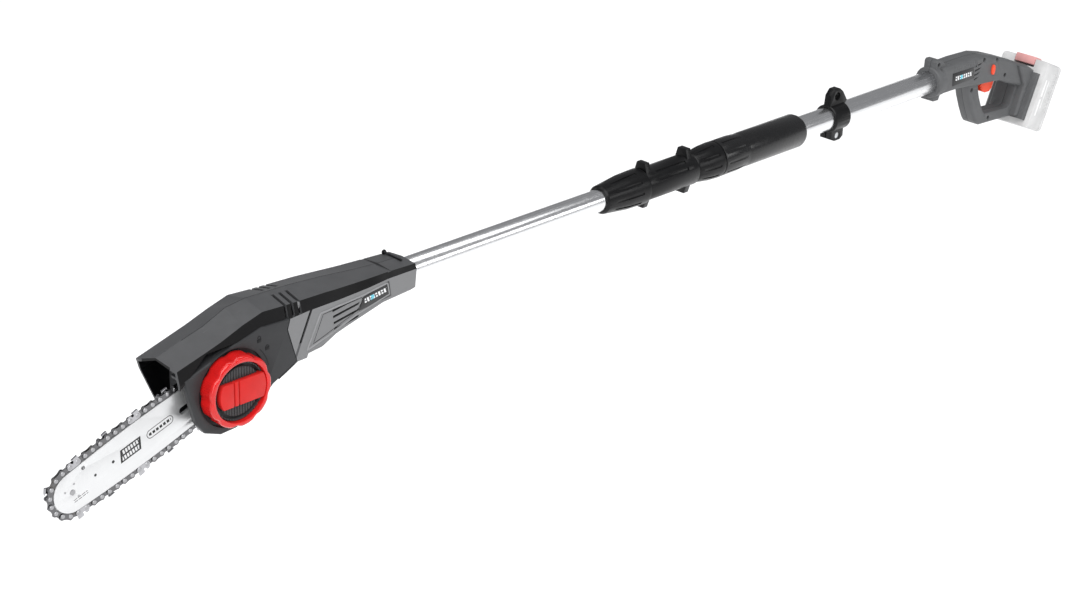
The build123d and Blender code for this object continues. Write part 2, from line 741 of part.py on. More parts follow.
strap_front = strap_eye_x - 15
strap_back = strap_eye_x + 15


def strap_ring():
    ring = turned([(strap_front, 15.05), (strap_front, 17.4), (strap_front + 1.5, 18.4), (strap_back - 1.5, 18.4),
                   (strap_back, 17.4), (strap_back, 15.05)])
    ear = prism([(strap_front, 14), (strap_eye_x - 13, 31), (strap_eye_x - 6, 38.5), (strap_eye_x + 4, 38.5),
                 (strap_eye_x + 11, 33), (strap_back + 5, 20), (strap_back, 14)], -5, 5)
    lug = prism([(strap_eye_x - 12, -14), (strap_eye_x - 12, -27), (strap_eye_x - 5, -30), (strap_eye_x + 6, -30),
                 (strap_eye_x + 12, -26), (strap_eye_x + 12, -14)], -9, 9)
    ring += ear + lug
    ring -= rod_x(900, 1100, outer_tube_r + 0.05)
    ring -= rod_y(strap_eye_x, strap_eye_z, -20, 20, strap_eye_r)
    ring -= box(900, 1100, -1.0, 1.0, -40, -10)
    ring -= rod_y(strap_eye_x, -23.5, -20, 20, 2.15)
    ring -= rod_y(strap_eye_x, -23.5, -20, -5.5, 4.4)
    return ring - rod_y(strap_eye_x, -23.5, 5.5, 20, 4.4)


def strap_screw():
    return rod_y(strap_eye_x, -23.5, -8.4, -5.6, 4.0) + rod_y(strap_eye_x, -23.5, -5.6, 8.6, 2.0)


def strap_nut():
    nut = Plane((strap_eye_x, 5.6, -23.5), z_dir=(0, 1, 0)) * extrude(RegularPolygon(4.0, 6), amount=2.8)
    return nut - rod_y(strap_eye_x, -23.5, 0, 20, 2.06)


# ---------------------------------------------------------------- rear handle

arm_outline = [
    (1218, 20.5), (1268, 21), (1313, 19), (1338, 13), (1376, 0), (1409, -15), (1430, -27), (1418, -50),
    (1400, -43), (1376, -36), (1357, -28), (1320, -25), (1306, -22), (1285, -19), (1252, -16), (1218, -15.5),
]
loop_outline = [
    (1283, -14), (1288, -24), (1294, -41), (1303, -60), (1312, -76), (1317, -82), (1325, -85.5), (1366, -88),
    (1405, -91), (1414, -60), (1422, -32), (1380, -8), (1330, -6),
]
window_outline = [
    (1309, -21), (1311, -30), (1315, -41), (1322, -55), (1329, -67), (1334, -71), (1388, -75), (1395, -72),
    (1405, -46), (1400, -41), (1376, -34), (1357, -26), (1340, -23), (1318, -21),
]
trigger_outline = [
    (1323, -20), (1322, -28), (1327, -37), (1336, -41.5), (1346, -42), (1352, -38), (1355, -30), (1354, -20),
]
# x, z, half width of the handle there
handle_screw_places = [(1215, 25, 10), (1311, 13.5, 18), (1343, 7, 18), (1366, -20, 18), (1296, -28, 12.5),
                       (1344, -79, 12.5)]
lock_off_x = 1334.0
lock_off_z = -5.0


def foot_block(half, grow):
    # widened root of the handle that carries the battery foot
    outline = [(1394, -12), (1412, -14), (1432, -26), (1408, -89), (1396, -86), (1401, -70), (1411, -44)]
    return grown_prism(outline, grow, -half, half)


def foot_flange(half, s0, s1, m0, m1):
    return foot_plane * (Pos((s0 + s1) / 2, 0, (m0 + m1) / 2) * Box(s1 - s0, 2 * half, m1 - m0))


def soft_prism(outline, half, radius):
    body = prism(outline, -half, half)
    return fillet(body.faces().sort_by(Axis.Y)[0].edges() + body.faces().sort_by(Axis.Y)[-1].edges(), radius)


def handle_solid():
    body = soft_prism(arm_outline, arm_half, 5.0) + soft_prism(loop_outline, loop_half, 4.0)
    body -= prism(window_outline, -60, 60)
    block = foot_block(24, 0)
    block = fillet(block.faces().sort_by(Axis.Y)[0].edges() + block.faces().sort_by(Axis.Y)[-1].edges(), 4.0)
    flange = foot_flange(31, -69, -1, -8.5, 0)
    collar = turned([(1207, 14), (1207, 20), (1208.5, 21.5), (1223, 21.5), (1228, 17), (1228, 14)])
    top = prism([(1209, 10), (1209.5, 29), (1212, 31.5), (1220, 31), (1238, 18)], -10, 10)
    bottom = prism([(1209, -10), (1209.5, -25), (1221, -25.5), (1227, -12)], -10, 10)
    return body + block + flange + collar + top + bottom


def handle_hollow():
    inner = grown_prism(arm_outline, -wall, -arm_half + wall, arm_half - wall)
    inner += grown_prism(loop_outline, -wall, -loop_half + wall, loop_half - wall)
    inner -= grown_prism(window_outline, wall, -60, 60)
    inner += foot_block(24 - wall, -wall)
    inner &= box(1244, 1500, -60, 60, -200, 200)
    return inner


def handle_cuts():
    cuts = [rod_x(1150, outer_tube_back, outer_tube_r + 0.05)]
    for row in range(4):
        z = 9.5 - 6.2 * row
        slot = [(1290, z), (1290, z - 2.4), (1304 - 2 * row, z - 0.6), (1306 - 2 * row, z + 1.8)]
        cuts.append(prism(slot, -60, 60))
    cuts.append(box(1321.2, 1357, -8.4, 8.4, -50, -12))
    cuts.append(lock_off_oval(0.3, -60, 60))
    cuts.append(foot_flange(25, -58, 30, -7.4, -2.2))
    cuts.append(foot_flange(21, -58, 30, -3, 1))
    return cuts


def lock_off_oval(grow, y0, y1):
    oval = Ellipse(3.8 + grow, 7.2 + grow)
    plane = Plane((lock_off_x, y0, lock_off_z), x_dir=(1, 0, 0), z_dir=(0, -1, 0))
    return extrude(plane * oval, amount=-(y1 - y0))


def rear_half(side):
    keep = left if side < 0 else right
    outer = handle_solid()
    shell = keep(outer - handle_hollow())
    for x, z, half in handle_screw_places:
        y0, y1 = (-half + 1, -0.01) if side < 0 else (0.01, half - 1)
        shell += rod_y(x, z, y0, y1, 4.0) & outer
    for cut in handle_cuts():
        shell -= cut
    for x, z, half in handle_screw_places:
        shell -= rod_y(x, z, -60, -half + 5, 3.2)
        shell -= rod_y(x, z, -40, half - 3, screw_r + 0.1)
    return shell


def rear_screws():
    screws = []
    for x, z, half in handle_screw_places:
        head = -half + 5
        screws.append(rod_y(x, z, head, half - 4, screw_r) + rod_y(x, z, head - 2.2, head, 2.9))
    return group(screws)


def rear_label():
    return prism([(1238, 10), (1286, 9), (1290, -7), (1240, -8)], -arm_half - 0.5, -arm_half)


def trigger():
    body = prism(trigger_outline, -7.8, 7.8)
    for k in range(4):
        z = -27.5 - 3.6 * k
        body -= box(1310, 1325 + 1.6 * k, -60, 60, z - 0.6, z + 0.6)
    return body


def trigger_spring():
    return Pos(1345.5, 0, -19.7) * (Cylinder(3.0, 9.4, align=low) - Cylinder(2.2, 40))


def switch_box():
    return box(1339.5, 1360, -9, 9, -10, 1.5)


def lock_off_button():
    return lock_off_oval(0, -arm_half - 2.2, arm_half + 2.2)


# ---------------------------------------------------------------- battery


def terminal_block():
    block = foot_flange(18, -57.8, -51, -7.2, -2.4)
    blades = [foot_plane * (Pos(-45, y, -4.8) * Box(13, 0.8, 3.2)) for y in (-12, -4, 4, 12)]
    for blade in blades:
        block += blade
    return block


def battery_body(grow, s0, s1, m0, m1):
    body = Pos((s0 + s1) / 2, 0, (m0 + m1) / 2) * Box(s1 - s0, 2 * (battery_half + grow), m1 - m0)
    return fillet(body.edges().filter_by(Axis.Z), 6 + grow)


def battery_case():
    case = battery_body(0, -78, 18, 0.6, 33.9)
    case -= battery_body(-2.4, -75.6, 15.6, 3.0, 40)
    case += Pos(-27, 0, -4.7) * Box(44, 2 * 24.6, 4.2) + Pos(-27, 0, -1.1) * Box(44, 2 * 20.6, 3.6)
    for y in (-12, -4, 4, 12):
        case -= Pos(-42, y, -4.8) * Box(18, 2.0, 4.6)
    case += Pos(9.8, 0, 11) * Box(12, 37, 19)
    case -= Pos(14.5, 0, 9) * Box(17, 33, 18.8)
    return foot_plane * case


def battery_lid():
    lid = battery_body(0, -78, 18, 34.0, battery_t) - battery_body(-2.4, -75.6, 15.6, 30, battery_t - 2.4)
    lid = chamfer(lid.edges().group_by(Axis.Z)[-1], 1.5)
    return foot_plane * lid


def battery_cells():
    cells = []
    for s, m in ((-64.5, 12.6), (-45.9, 12.6), (-27.3, 12.6), (-55.2, 28.8), (-36.6, 28.8)):
        cells.append(foot_plane * (Pos(s, 0, m) * Rot(90, 0, 0) * Cylinder(9.1, 65)))
    return group(cells)


def battery_latch():
    return foot_plane * (Pos(14.75, 0, 8.7) * Box(11.5, 32.2, 18.0))


# ---------------------------------------------------------------- export

os.makedirs("parts", exist_ok=True)
links, straps, cutters, rivets = chain_nodes()
nodes = {
    "head_shell_left": head_shell_left(),
    "head_shell_right": head_shell_right(),
    "sprocket_cover": sprocket_cover(),
    "head_label": head_label(),
    "lock_marks": lock_marks(),
    "head_screws": head_screws(),
    "bar_plate": bar_plate(),
    "bar_stud": bar_stud(),
    "gear_case": gear_case(),
    "shaft_bearings": shaft_bearings(),
    "output_shaft": output_shaft(),
    "drive_gear": drive_gear(),
    "drive_sprocket": drive_sprocket(),
    "sprocket_clip": sprocket_clip(),
    "motor_can": motor_can(),
    "motor_magnets": motor_magnets(),
    "motor_bearings": motor_bearings(),
    "motor_armature": motor_armature(),
    "motor_shaft": motor_shaft(),
    "pinion": pinion(),
    "oil_tank": oil_tank(),
    "oil_cap": oil_cap(),
    "guide_bar": guide_bar(),
    "nose_sprocket": nose_sprocket(),
    "nose_rivets": nose_rivets(),
    "drive_links": group(links),
    "tie_straps": group(straps),
    "cutters_left": group(cutters[-1]),
    "cutters_right": group(cutters[1]),
    "chain_rivets": group(rivets),
    "tension_pin": tension_pin(),
    "tension_wheel": tension_wheel(),
    "tension_cam": tension_cam(),
    "lock_knob": lock_knob(),
    "lock_grip": lock_grip(),
    "lock_nut": lock_nut(),
    "inner_tube": inner_tube(),
    "tube_end_bush": tube_end_bush(),
    "front_lock_nut": front_lock_nut(),
    "front_collet": front_collet(),
    "coupling_sleeve": coupling_sleeve(),
    "rear_lock_nut": rear_lock_nut(),
    "grip_sleeve": grip_sleeve(),
    "outer_tube": outer_tube(),
    "strap_ring": strap_ring(),
    "strap_screw": strap_screw(),
    "strap_nut": strap_nut(),
    "rear_shell_left": rear_half(-1),
    "rear_shell_right": rear_half(1),
    "rear_screws": rear_screws(),
    "rear_label": rear_label(),
    "trigger": trigger(),
    "trigger_spring": trigger_spring(),
    "switch_box": switch_box(),
    "lock_off_button": lock_off_button(),
    "terminal_block": terminal_block(),
    "battery_case": battery_case(),
    "battery_lid": battery_lid(),
    "battery_cells": battery_cells(),
    "battery_latch": battery_latch(),
}
for name, shape in nodes.items():
    export(name, shape)
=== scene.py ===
import math

import bmesh
import bpy
from mathutils import Matrix, Quaternion, Vector
from mathutils.bvhtree import BVHTree
from mathutils.geometry import tessellate_polygon


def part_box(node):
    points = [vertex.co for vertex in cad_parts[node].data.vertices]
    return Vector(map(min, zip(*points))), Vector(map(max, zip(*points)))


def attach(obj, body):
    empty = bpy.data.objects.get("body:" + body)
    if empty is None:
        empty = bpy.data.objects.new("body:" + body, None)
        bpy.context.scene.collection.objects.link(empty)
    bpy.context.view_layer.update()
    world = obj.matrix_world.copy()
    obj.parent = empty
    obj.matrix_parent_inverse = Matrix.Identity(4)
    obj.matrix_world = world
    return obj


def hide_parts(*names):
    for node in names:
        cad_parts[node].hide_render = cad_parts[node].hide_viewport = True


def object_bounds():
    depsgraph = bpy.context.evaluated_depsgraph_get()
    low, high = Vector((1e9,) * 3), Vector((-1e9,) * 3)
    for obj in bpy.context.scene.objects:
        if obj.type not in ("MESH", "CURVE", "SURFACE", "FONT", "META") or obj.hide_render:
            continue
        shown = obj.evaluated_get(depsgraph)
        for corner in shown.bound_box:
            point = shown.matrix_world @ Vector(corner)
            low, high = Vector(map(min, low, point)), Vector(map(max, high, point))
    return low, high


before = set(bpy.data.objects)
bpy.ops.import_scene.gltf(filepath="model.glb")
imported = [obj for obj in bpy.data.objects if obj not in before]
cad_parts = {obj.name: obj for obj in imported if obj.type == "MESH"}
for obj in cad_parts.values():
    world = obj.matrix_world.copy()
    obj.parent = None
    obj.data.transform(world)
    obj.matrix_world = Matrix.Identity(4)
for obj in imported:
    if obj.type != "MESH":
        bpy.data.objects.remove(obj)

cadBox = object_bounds()

# Lengths below are in millimetres, measured from the bar stud along the pole, and from the pole's axis
studLow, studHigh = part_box("bar_stud")
stud = (studLow + studHigh) / 2
studDrop = 43.5
nodeTrees = {}


def at(x, y, z):
    return Vector((stud.x + x / 1000, y / 1000, stud.z + (z + studDrop) / 1000))


def placeMatrix(origin, xDir, yDir, zDir):
    # millimetres in a local plane to metres in the frame
    turn = Matrix((xDir, yDir, zDir)).transposed().to_4x4()
    return Matrix.Translation(origin) @ turn @ Matrix.Scale(0.001, 4)


barSet = {"tilt": 17.9, "y": -10.6}
barSlope = math.radians(barSet["tilt"])
barPlace = placeMatrix(
    at(0, barSet["y"], -studDrop),
    (-math.cos(barSlope), 0, -math.sin(barSlope)),
    (-math.sin(barSlope), 0, math.cos(barSlope)),
    (0, 1, 0),
)
footSet = {"x": 1436, "z": -30, "tilt": 23.5}
footSlope = math.radians(footSet["tilt"])
footPlace = placeMatrix(
    at(footSet["x"], 0, footSet["z"]),
    (math.sin(footSlope), 0, math.cos(footSlope)),
    (0, -1, 0),
    (math.cos(footSlope), 0, -math.sin(footSlope)),
)
polePlace = placeMatrix(at(0, 0, 0), (1, 0, 0), (0, 1, 0), (0, 0, 1))
# local x and y lie in the knob's face, local z points out of it
knobPlace = placeMatrix(at(0, 0, -studDrop), (1, 0, 0), (0, 0, 1), (0, -1, 0))


# Sockets that take plain arithmetic

class Wire:
    def __init__(self, tree, socket=None):
        self.tree = tree
        self.socket = socket

    def node(self, kind, settings=None, sockets=None, out=0):
        new = self.tree.nodes.new(kind)
        for key, value in (settings or {}).items():
            setattr(new, key, value)
        for key, value in (sockets or {}).items():
            if isinstance(value, Wire):
                self.tree.links.new(value.socket, new.inputs[key])
            else:
                new.inputs[key].default_value = value
        return Wire(self.tree, new.outputs[out])

    def math(self, operation, *values):
        return self.node("ShaderNodeMath", {"operation": operation}, dict(enumerate(values)))

    def __add__(self, other):
        return self.math("ADD", self, other)

    def __sub__(self, other):
        return self.math("SUBTRACT", self, other)

    def __mul__(self, other):
        return self.math("MULTIPLY", self, other)

    def __truediv__(self, other):
        return self.math("DIVIDE", self, other)

    def __radd__(self, other):
        return self.math("ADD", other, self)

    def __rsub__(self, other):
        return self.math("SUBTRACT", other, self)

    def __rmul__(self, other):
        return self.math("MULTIPLY", other, self)

    def __neg__(self):
        return self.math("MULTIPLY", self, -1.0)

    def __abs__(self):
        return self.math("ABSOLUTE", self)

    def __mod__(self, other):
        return self.math("FLOORED_MODULO", self, other)

    def __gt__(self, other):
        return self.math("GREATER_THAN", self, other)

    def __lt__(self, other):
        return self.math("LESS_THAN", self, other)

    def split(self):
        parts = self.node("ShaderNodeSeparateXYZ", None, {0: self})
        return [Wire(self.tree, socket) for socket in parts.socket.node.outputs]


def within(value, low, high):
    return (value > low) * (value < high)


def mixColour(mask, plain, marked):
    return mask.node(
        "ShaderNodeMix", {"data_type": "RGBA"},
        {"Factor": mask, 6: plain if isinstance(plain, Wire) else (*plain, 1),
         7: marked if isinstance(marked, Wire) else (*marked, 1)}, out=2)


def shift(colour, factor):
    return tuple(min(1.0, part * factor) for part in colour)


def newMaterial(name, look):
    material = bpy.data.materials.new(name)
    material.use_nodes = True
    tree = material.node_tree
    shader = tree.nodes["Principled BSDF"]
    for key in ("Metallic", "Transmission Weight", "Coat Weight", "Coat Roughness", "Specular IOR Level"):
        if key in look:
            shader.inputs[key].default_value = look[key]
    return material, Wire(tree), shader


def feed(root, shader, **links):
    for key, wire in links.items():
        root.tree.links.new(wire.socket, shader.inputs[key.replace("_", " ")])


def objectPlace(root):
    # object coordinates in millimetres
    place = root.node("ShaderNodeTexCoord", out="Object")
    return root.node("ShaderNodeVectorMath", {"operation": "SCALE"}, {0: place, "Scale": 1000.0})


def noise(root, place, size, detail=2.0, rough=0.5):
    return root.node("ShaderNodeTexNoise", None,
                     {"Vector": place, "Scale": 1 / size, "Detail": detail, "Roughness": rough})


def bump(root, height):
    # height in tenths of a millimetre
    return root.node("ShaderNodeBump", None, {"Height": height, "Strength": 1.0, "Distance": 0.0001})


def stretched(root, place, scale):
    return root.node("ShaderNodeMapping", {"vector_type": "POINT"}, {"Vector": place, "Scale": scale})


def plastic(name, look, zones=None):
    # moulded plastic: spark-eroded grain, cloudy sheen, faint handling scuffs
    material, root, shader = newMaterial(name, look)
    place = objectPlace(root)
    grain = noise(root, place, look["grain"], 3.0, 0.6)
    cloud = noise(root, place, look["cloud"], 2.0)
    scuff = noise(root, stretched(root, place, (0.05, 0.9, 0.4)), 2.6, 3.0, 0.7)
    scuffMask = (scuff > 0.69) * look["scuff"]
    colour = mixColour(cloud, shift(look["colour"], 0.86), shift(look["colour"], 1.16))
    colour = mixColour(scuffMask, colour, shift(look["colour"], 1.9))
    roughness = look["roughness"] + (cloud - 0.5) * 0.16 + scuffMask * 0.15 + (grain - 0.5) * 0.1
    grainDepth = look["grainDepth"]
    if zones:
        colour, roughness, grainDepth = zones(root, place, colour, roughness, look)
    feed(root, shader, Base_Color=colour, Roughness=roughness,
         Normal=bump(root, grain * grainDepth))
    return material


def metal(name, look):
    # metal with drawn or brushed lines, tarnish and fine pits
    material, root, shader = newMaterial(name, look)
    place = objectPlace(root)
    lines = noise(root, stretched(root, place, look["stretch"]), look["line"], 3.0, 0.7)
    cloud = noise(root, place, look["cloud"], 3.0)
    pits = noise(root, place, 0.5, 2.0)
    colour = mixColour(lines, shift(look["colour"], 1 - look["contrast"]), shift(look["colour"], 1 + look["contrast"]))
    colour = mixColour((cloud > 0.6) * look["tarnish"], colour, look["dull"])
    roughness = look["roughness"] + (lines - 0.5) * look["streak"] + (cloud - 0.5) * 0.1
    height = lines * look["lineDepth"] + pits * look["pitDepth"]
    feed(root, shader, Base_Color=colour, Roughness=roughness, Normal=bump(root, height))
    return material


# Materials

plasticBase = {"roughness": 0.5, "grain": 0.45, "grainDepth": 0.35, "cloud": 14.0, "scuff": 0.25,
               "Specular IOR Level": 0.2}
metalBase = {"Metallic": 1.0, "roughness": 0.3, "stretch": (0.02, 1.0, 1.0), "line": 0.35, "cloud": 12.0,
             "contrast": 0.08, "tarnish": 0.15, "dull": (0.3, 0.3, 0.3), "streak": 0.25, "lineDepth": 0.25,
             "pitDepth": 0.1}
headLook = {**plasticBase, "colour": (0.075, 0.076, 0.079), "roughness": 0.46, "grain": 0.6,
            "panel": (0.2, 0.202, 0.206), "band": (0.002, 0.002, 0.0024), "bandRoughness": 0.34,
            "panelFront": 71.0, "skinDepth": 19.0, "seam": 0.3,
            "groove": 99.5, "grooveLean": 0.475, "grooveHalf": 1.75, "grooveFoot": -23.0}
handleLook = {**plasticBase, "colour": (0.1, 0.102, 0.105), "roughness": 0.42, "grain": 0.55, "seam": 0.3}
finishes = {
    "cover": {**plasticBase, "colour": (0.034, 0.035, 0.037), "roughness": 0.45, "grain": 0.6},
    "black": {**plasticBase, "colour": (0.006, 0.006, 0.0065), "roughness": 0.3, "grain": 0.5, "grainDepth": 0.2},
    "grip": {**plasticBase, "colour": (0.007, 0.007, 0.0075), "roughness": 0.27, "grain": 0.4, "grainDepth": 0.15,
             "Specular IOR Level": 0.45},
    "red": {**plasticBase, "colour": (0.62, 0.012, 0.012), "roughness": 0.22, "grain": 0.8, "grainDepth": 0.06,
            "scuff": 0.1, "Coat Weight": 0.6, "Coat Roughness": 0.08},
    "redGrip": {**plasticBase, "colour": (0.58, 0.02, 0.018), "roughness": 0.36, "grain": 0.5, "grainDepth": 0.15,
                "scuff": 0.15},
    "orange": {**plasticBase, "colour": (0.78, 0.075, 0.03), "roughness": 0.34, "grain": 0.5, "grainDepth": 0.12,
               "scuff": 0.1},
    "pale": {**plasticBase, "colour": (0.6, 0.6, 0.6), "roughness": 0.45, "grain": 0.7, "scuff": 0.08},
    "paleRed": {**plasticBase, "colour": (0.72, 0.36, 0.35), "roughness": 0.45, "grain": 0.6, "scuff": 0.08},
    "ink": {**plasticBase, "colour": (0.005, 0.005, 0.006), "roughness": 0.4, "grainDepth": 0.1, "scuff": 0.0},
    "trim": {**plasticBase, "colour": (0.26, 0.262, 0.268), "roughness": 0.4, "grain": 0.6},
    "palePrint": {**plasticBase, "colour": (0.82, 0.82, 0.82), "roughness": 0.4, "grainDepth": 0.1, "scuff": 0.0},
    "wrap": {**plasticBase, "colour": (0.1, 0.3, 0.16), "roughness": 0.25, "grain": 2.0, "grainDepth": 0.05},
}
metalFinishes = {
    "drawnTube": {**metalBase, "colour": (0.86, 0.865, 0.875), "roughness": 0.24, "stretch": (0.004, 1.0, 1.0),
                  "line": 0.9, "contrast": 0.05, "tarnish": 0.0},
    "castAlu": {**metalBase, "colour": (0.5, 0.5, 0.51), "roughness": 0.5, "stretch": (1.0, 1.0, 1.0),
                "line": 0.8, "pitDepth": 0.6},
    "chainSteel": {**metalBase, "colour": (0.15, 0.15, 0.155), "roughness": 0.26, "stretch": (1.0, 1.0, 1.0),
                   "tarnish": 0.5, "dull": (0.12, 0.11, 0.1)},
    "cutterSteel": {**metalBase, "colour": (0.42, 0.42, 0.435), "roughness": 0.22, "tarnish": 0.2,
                    "dull": (0.3, 0.29, 0.28)},
    "rivetSteel": {**metalBase, "colour": (0.36, 0.36, 0.37), "roughness": 0.26, "stretch": (1.0, 1.0, 1.0)},
    "darkZinc": {**metalBase, "colour": (0.07, 0.07, 0.075), "roughness": 0.35, "stretch": (1.0, 1.0, 1.0),
                 "line": 1.4},
    "zinc": {**metalBase, "colour": (0.6, 0.61, 0.62), "roughness": 0.35, "stretch": (1.0, 1.0, 1.0), "line": 1.4},
    "motorSteel": {**metalBase, "colour": (0.36, 0.36, 0.37), "roughness": 0.35},
    "copper": {**metalBase, "colour": (0.72, 0.32, 0.16), "roughness": 0.35, "line": 0.6, "contrast": 0.25},
}


def seamMask(place, low, high, width):
    # the joint line between the two shell halves
    x, y, z = place.split()
    return (abs(y) < width) * within(z, low, high)


def headZones(root, place, colour, roughness, look):
    # the roof edge carries a glossy black band, and the rear side panels are a lighter grey; the groove in each side
    # panel is coloured black, a painted shade in the recess
    x, y, z = place.split()
    normal = root.node("ShaderNodeTexCoord", out="Normal").split()
    side = (abs(normal[1]) > 0.72) * (abs(y) > look["skinDepth"])
    rear = x > at(look["panelFront"], 0, 0).x * 1000
    band = side * within(normal[2], 0.1, 0.62)
    front = (abs(normal[1]) > 0.72) * (1 - rear)
    panel = side * rear * (normal[2] < 0.1)
    groove = abs((x - at(look["groove"], 0, 0).x * 1000) - (z - at(0, 0, 0).z * 1000) * look["grooveLean"])
    panel = panel * (groove > look["grooveHalf"])
    # painted shade: the groove at the front of each side panel is coloured black
    grooveShade = side * rear * (groove < look["grooveHalf"]) * (z > at(0, 0, look["grooveFoot"]).z * 1000)
    inside = (abs(y) < look["skinDepth"]) * (abs(normal[2]) < 0.6) * (1 - rear)
    black = band + front + inside + grooveShade
    black = black.math("MINIMUM", black, 1.0)
    seam = seamMask(place, at(0, 0, 10).z * 1000, at(0, 0, 60).z * 1000, look["seam"]) * (normal[2] > 0.3)
    colour = mixColour(panel, colour, look["panel"])
    colour = mixColour(seam.math("MINIMUM", black + seam, 1.0), colour, look["band"])
    roughness = roughness + black * (look["bandRoughness"] - look["roughness"])
    return colour, roughness, (1 - black * 0.8) * look["grainDepth"] - seam * 2.0


def handleZones(root, place, colour, roughness, look):
    seam = seamMask(place, at(0, 0, -120).z * 1000, at(0, 0, 60).z * 1000, look["seam"])
    colour = mixColour(seam, colour, shift(look["colour"], 0.25))
    return colour, roughness, look["grainDepth"] - seam * 2.0


materials = {key: plastic(key, look) for key, look in finishes.items()}
materials.update({key: metal(key, look) for key, look in metalFinishes.items()})
materials["head"] = plastic("head", headLook, headZones)
materials["handle"] = plastic("handle", handleLook, handleZones)


def tankMaterial():
    look = {"colour": (0.75, 0.74, 0.66), "Transmission Weight": 0.5, "Coat Weight": 0.3}
    material, root, shader = newMaterial("tank", look)
    cloud = noise(root, objectPlace(root), 9.0, 2.0)
    feed(root, shader, Base_Color=mixColour(cloud, shift(look["colour"], 0.85), look["colour"]),
         Roughness=0.3 + cloud * 0.15)
    return material


def barMaterial():
    # bright ground bar: fine grinding lines along it, printed outline, block and dots
    look = {**metalBase, "colour": (0.74, 0.745, 0.75), "ink": (0.012, 0.012, 0.013), "roughness": 0.36,
            "stadium": (81.0, 12.0, 4.6, 0.8), "block": (119.0, 13.0, 7.0), "slant": 0.28,
            "dots": ((141.0, 0.5, 1.7), (163.5, 0.5, 1.5), (172.5, 17.0, 2.1)),
            "dashes": ((4.6, 3.1), (3.4, 2.3), (5.0, 4.1)), "lines": (-9.0, -11.4)}
    (dotStep, dotLong), (windowStep, windowLong), (lineStep, lineLong) = look["dashes"]
    material, root, shader = newMaterial("bar", look)
    place = objectPlace(root)
    centre = at(0, 0, -studDrop) * 1000
    x, y, z = place.split()
    along = (x - centre.x) * -math.cos(barSlope) + (z - centre.z) * -math.sin(barSlope)
    across = (x - centre.x) * -math.sin(barSlope) + (z - centre.z) * math.cos(barSlope)
    flat = root.node("ShaderNodeCombineXYZ", None, {0: along * 0.03, 1: across, 2: y})
    lines = noise(root, flat, 0.5, 3.0, 0.7)
    cloud = noise(root, place, 22.0, 2.0)

    def roundOff(u, v, half):
        # distance from a short line along the bar
        reach = root.math("MAXIMUM", abs(along - u) - half, 0.0)
        return root.math("SQRT", reach * reach + (across - v) * (across - v))

    stadiumU, stadiumHalf, stadiumR, pen = look["stadium"]
    edge = roundOff(stadiumU, 0.5, stadiumHalf)
    ink = within(edge, stadiumR - pen / 2, stadiumR + pen / 2)
    ink = ink + (edge < stadiumR - 2.3) * ((along % dotStep) < dotLong) * (abs(across - 0.5) < 1.6)
    blockU, blockHalf, blockV = look["block"]
    sheared = along - blockU + (across * look["slant"])
    block = (abs(sheared) < blockHalf) * (abs(across + 0.5) < blockV)
    window = (abs(sheared) < blockHalf - 2.4) * within(abs(across + 0.5), 0.9, blockV - 1.6)
    window = window * ((along % windowStep) < windowLong)
    ink = ink + block * (1 - window)
    for u, v, radius in look["dots"]:
        ink = ink + (roundOff(u, v, 0.0) < radius)
    for v in look["lines"]:
        ink = ink + (abs(across - v) < 0.35) * within(along, 177.0, 195.0) * ((along % lineStep) < lineLong)
    ink = ink.math("MINIMUM", ink, 1.0) * (abs(y - barSet["y"]) > 1.9)
    colour = mixColour(lines, shift(look["colour"], 0.92), shift(look["colour"], 1.06))
    colour = mixColour(cloud * 0.3, colour, shift(look["colour"], 0.8))
    colour = mixColour(ink, colour, look["ink"])
    feed(root, shader, Base_Color=colour, Metallic=0.75 - ink * 0.75,
         Roughness=look["roughness"] + (lines - 0.5) * 0.2 + ink * 0.1,
         Normal=bump(root, lines * 0.2 - ink * 0.2))
    return material


def labelMaterial(name, look):
    # glossy black plate with plain printed bars and one tinted chevron
    material, root, shader = newMaterial(name, look)
    place = objectPlace(root)
    centre = at(look["x"], 0, look["z"]) * 1000
    x, _, z = place.split()
    along = (x - centre.x) * math.cos(look["tilt"]) + (z - centre.z) * math.sin(look["tilt"])
    up = (z - centre.z) * math.cos(look["tilt"]) - (x - centre.x) * math.sin(look["tilt"])
    row = (abs(up) < look["height"]) * (abs(along) < look["half"])
    pitch = look["pitch"]
    bars = row * (((along + up * 0.3) % pitch) < pitch * 0.66)
    bars = bars * (1 - (abs(up) < look["height"] * 0.22) * (((along * 0.5) % pitch) < pitch * 0.5))
    tint = (abs(along + abs(up) * 0.6 + pitch * 0.9) < pitch * 0.55) * row
    speck = noise(root, place, 0.5)
    colour = mixColour(bars, look["plate"], look["print"])
    colour = mixColour(tint, colour, look["tint"])
    feed(root, shader, Base_Color=colour, Roughness=0.24 + speck * 0.14,
         Normal=bump(root, bars * 0.3 + speck * 0.05))
    return material


labelBase = {"plate": (0.006, 0.006, 0.007), "print": (0.78, 0.79, 0.8), "tint": (0.12, 0.5, 0.62)}
labelLooks = {
    "headLabel": {**labelBase, "x": 196, "z": -2.5, "tilt": 0.1, "half": 16.0, "height": 2.7, "pitch": 4.1},
    "rearLabel": {**labelBase, "x": 1264, "z": 1.0, "tilt": -0.02, "half": 19.0, "height": 3.0, "pitch": 4.8},
}
materials["tank"] = tankMaterial()
materials["bar"] = barMaterial()
materials.update({key: labelMaterial(key, look) for key, look in labelLooks.items()})
print("materials ready:", len(materials))


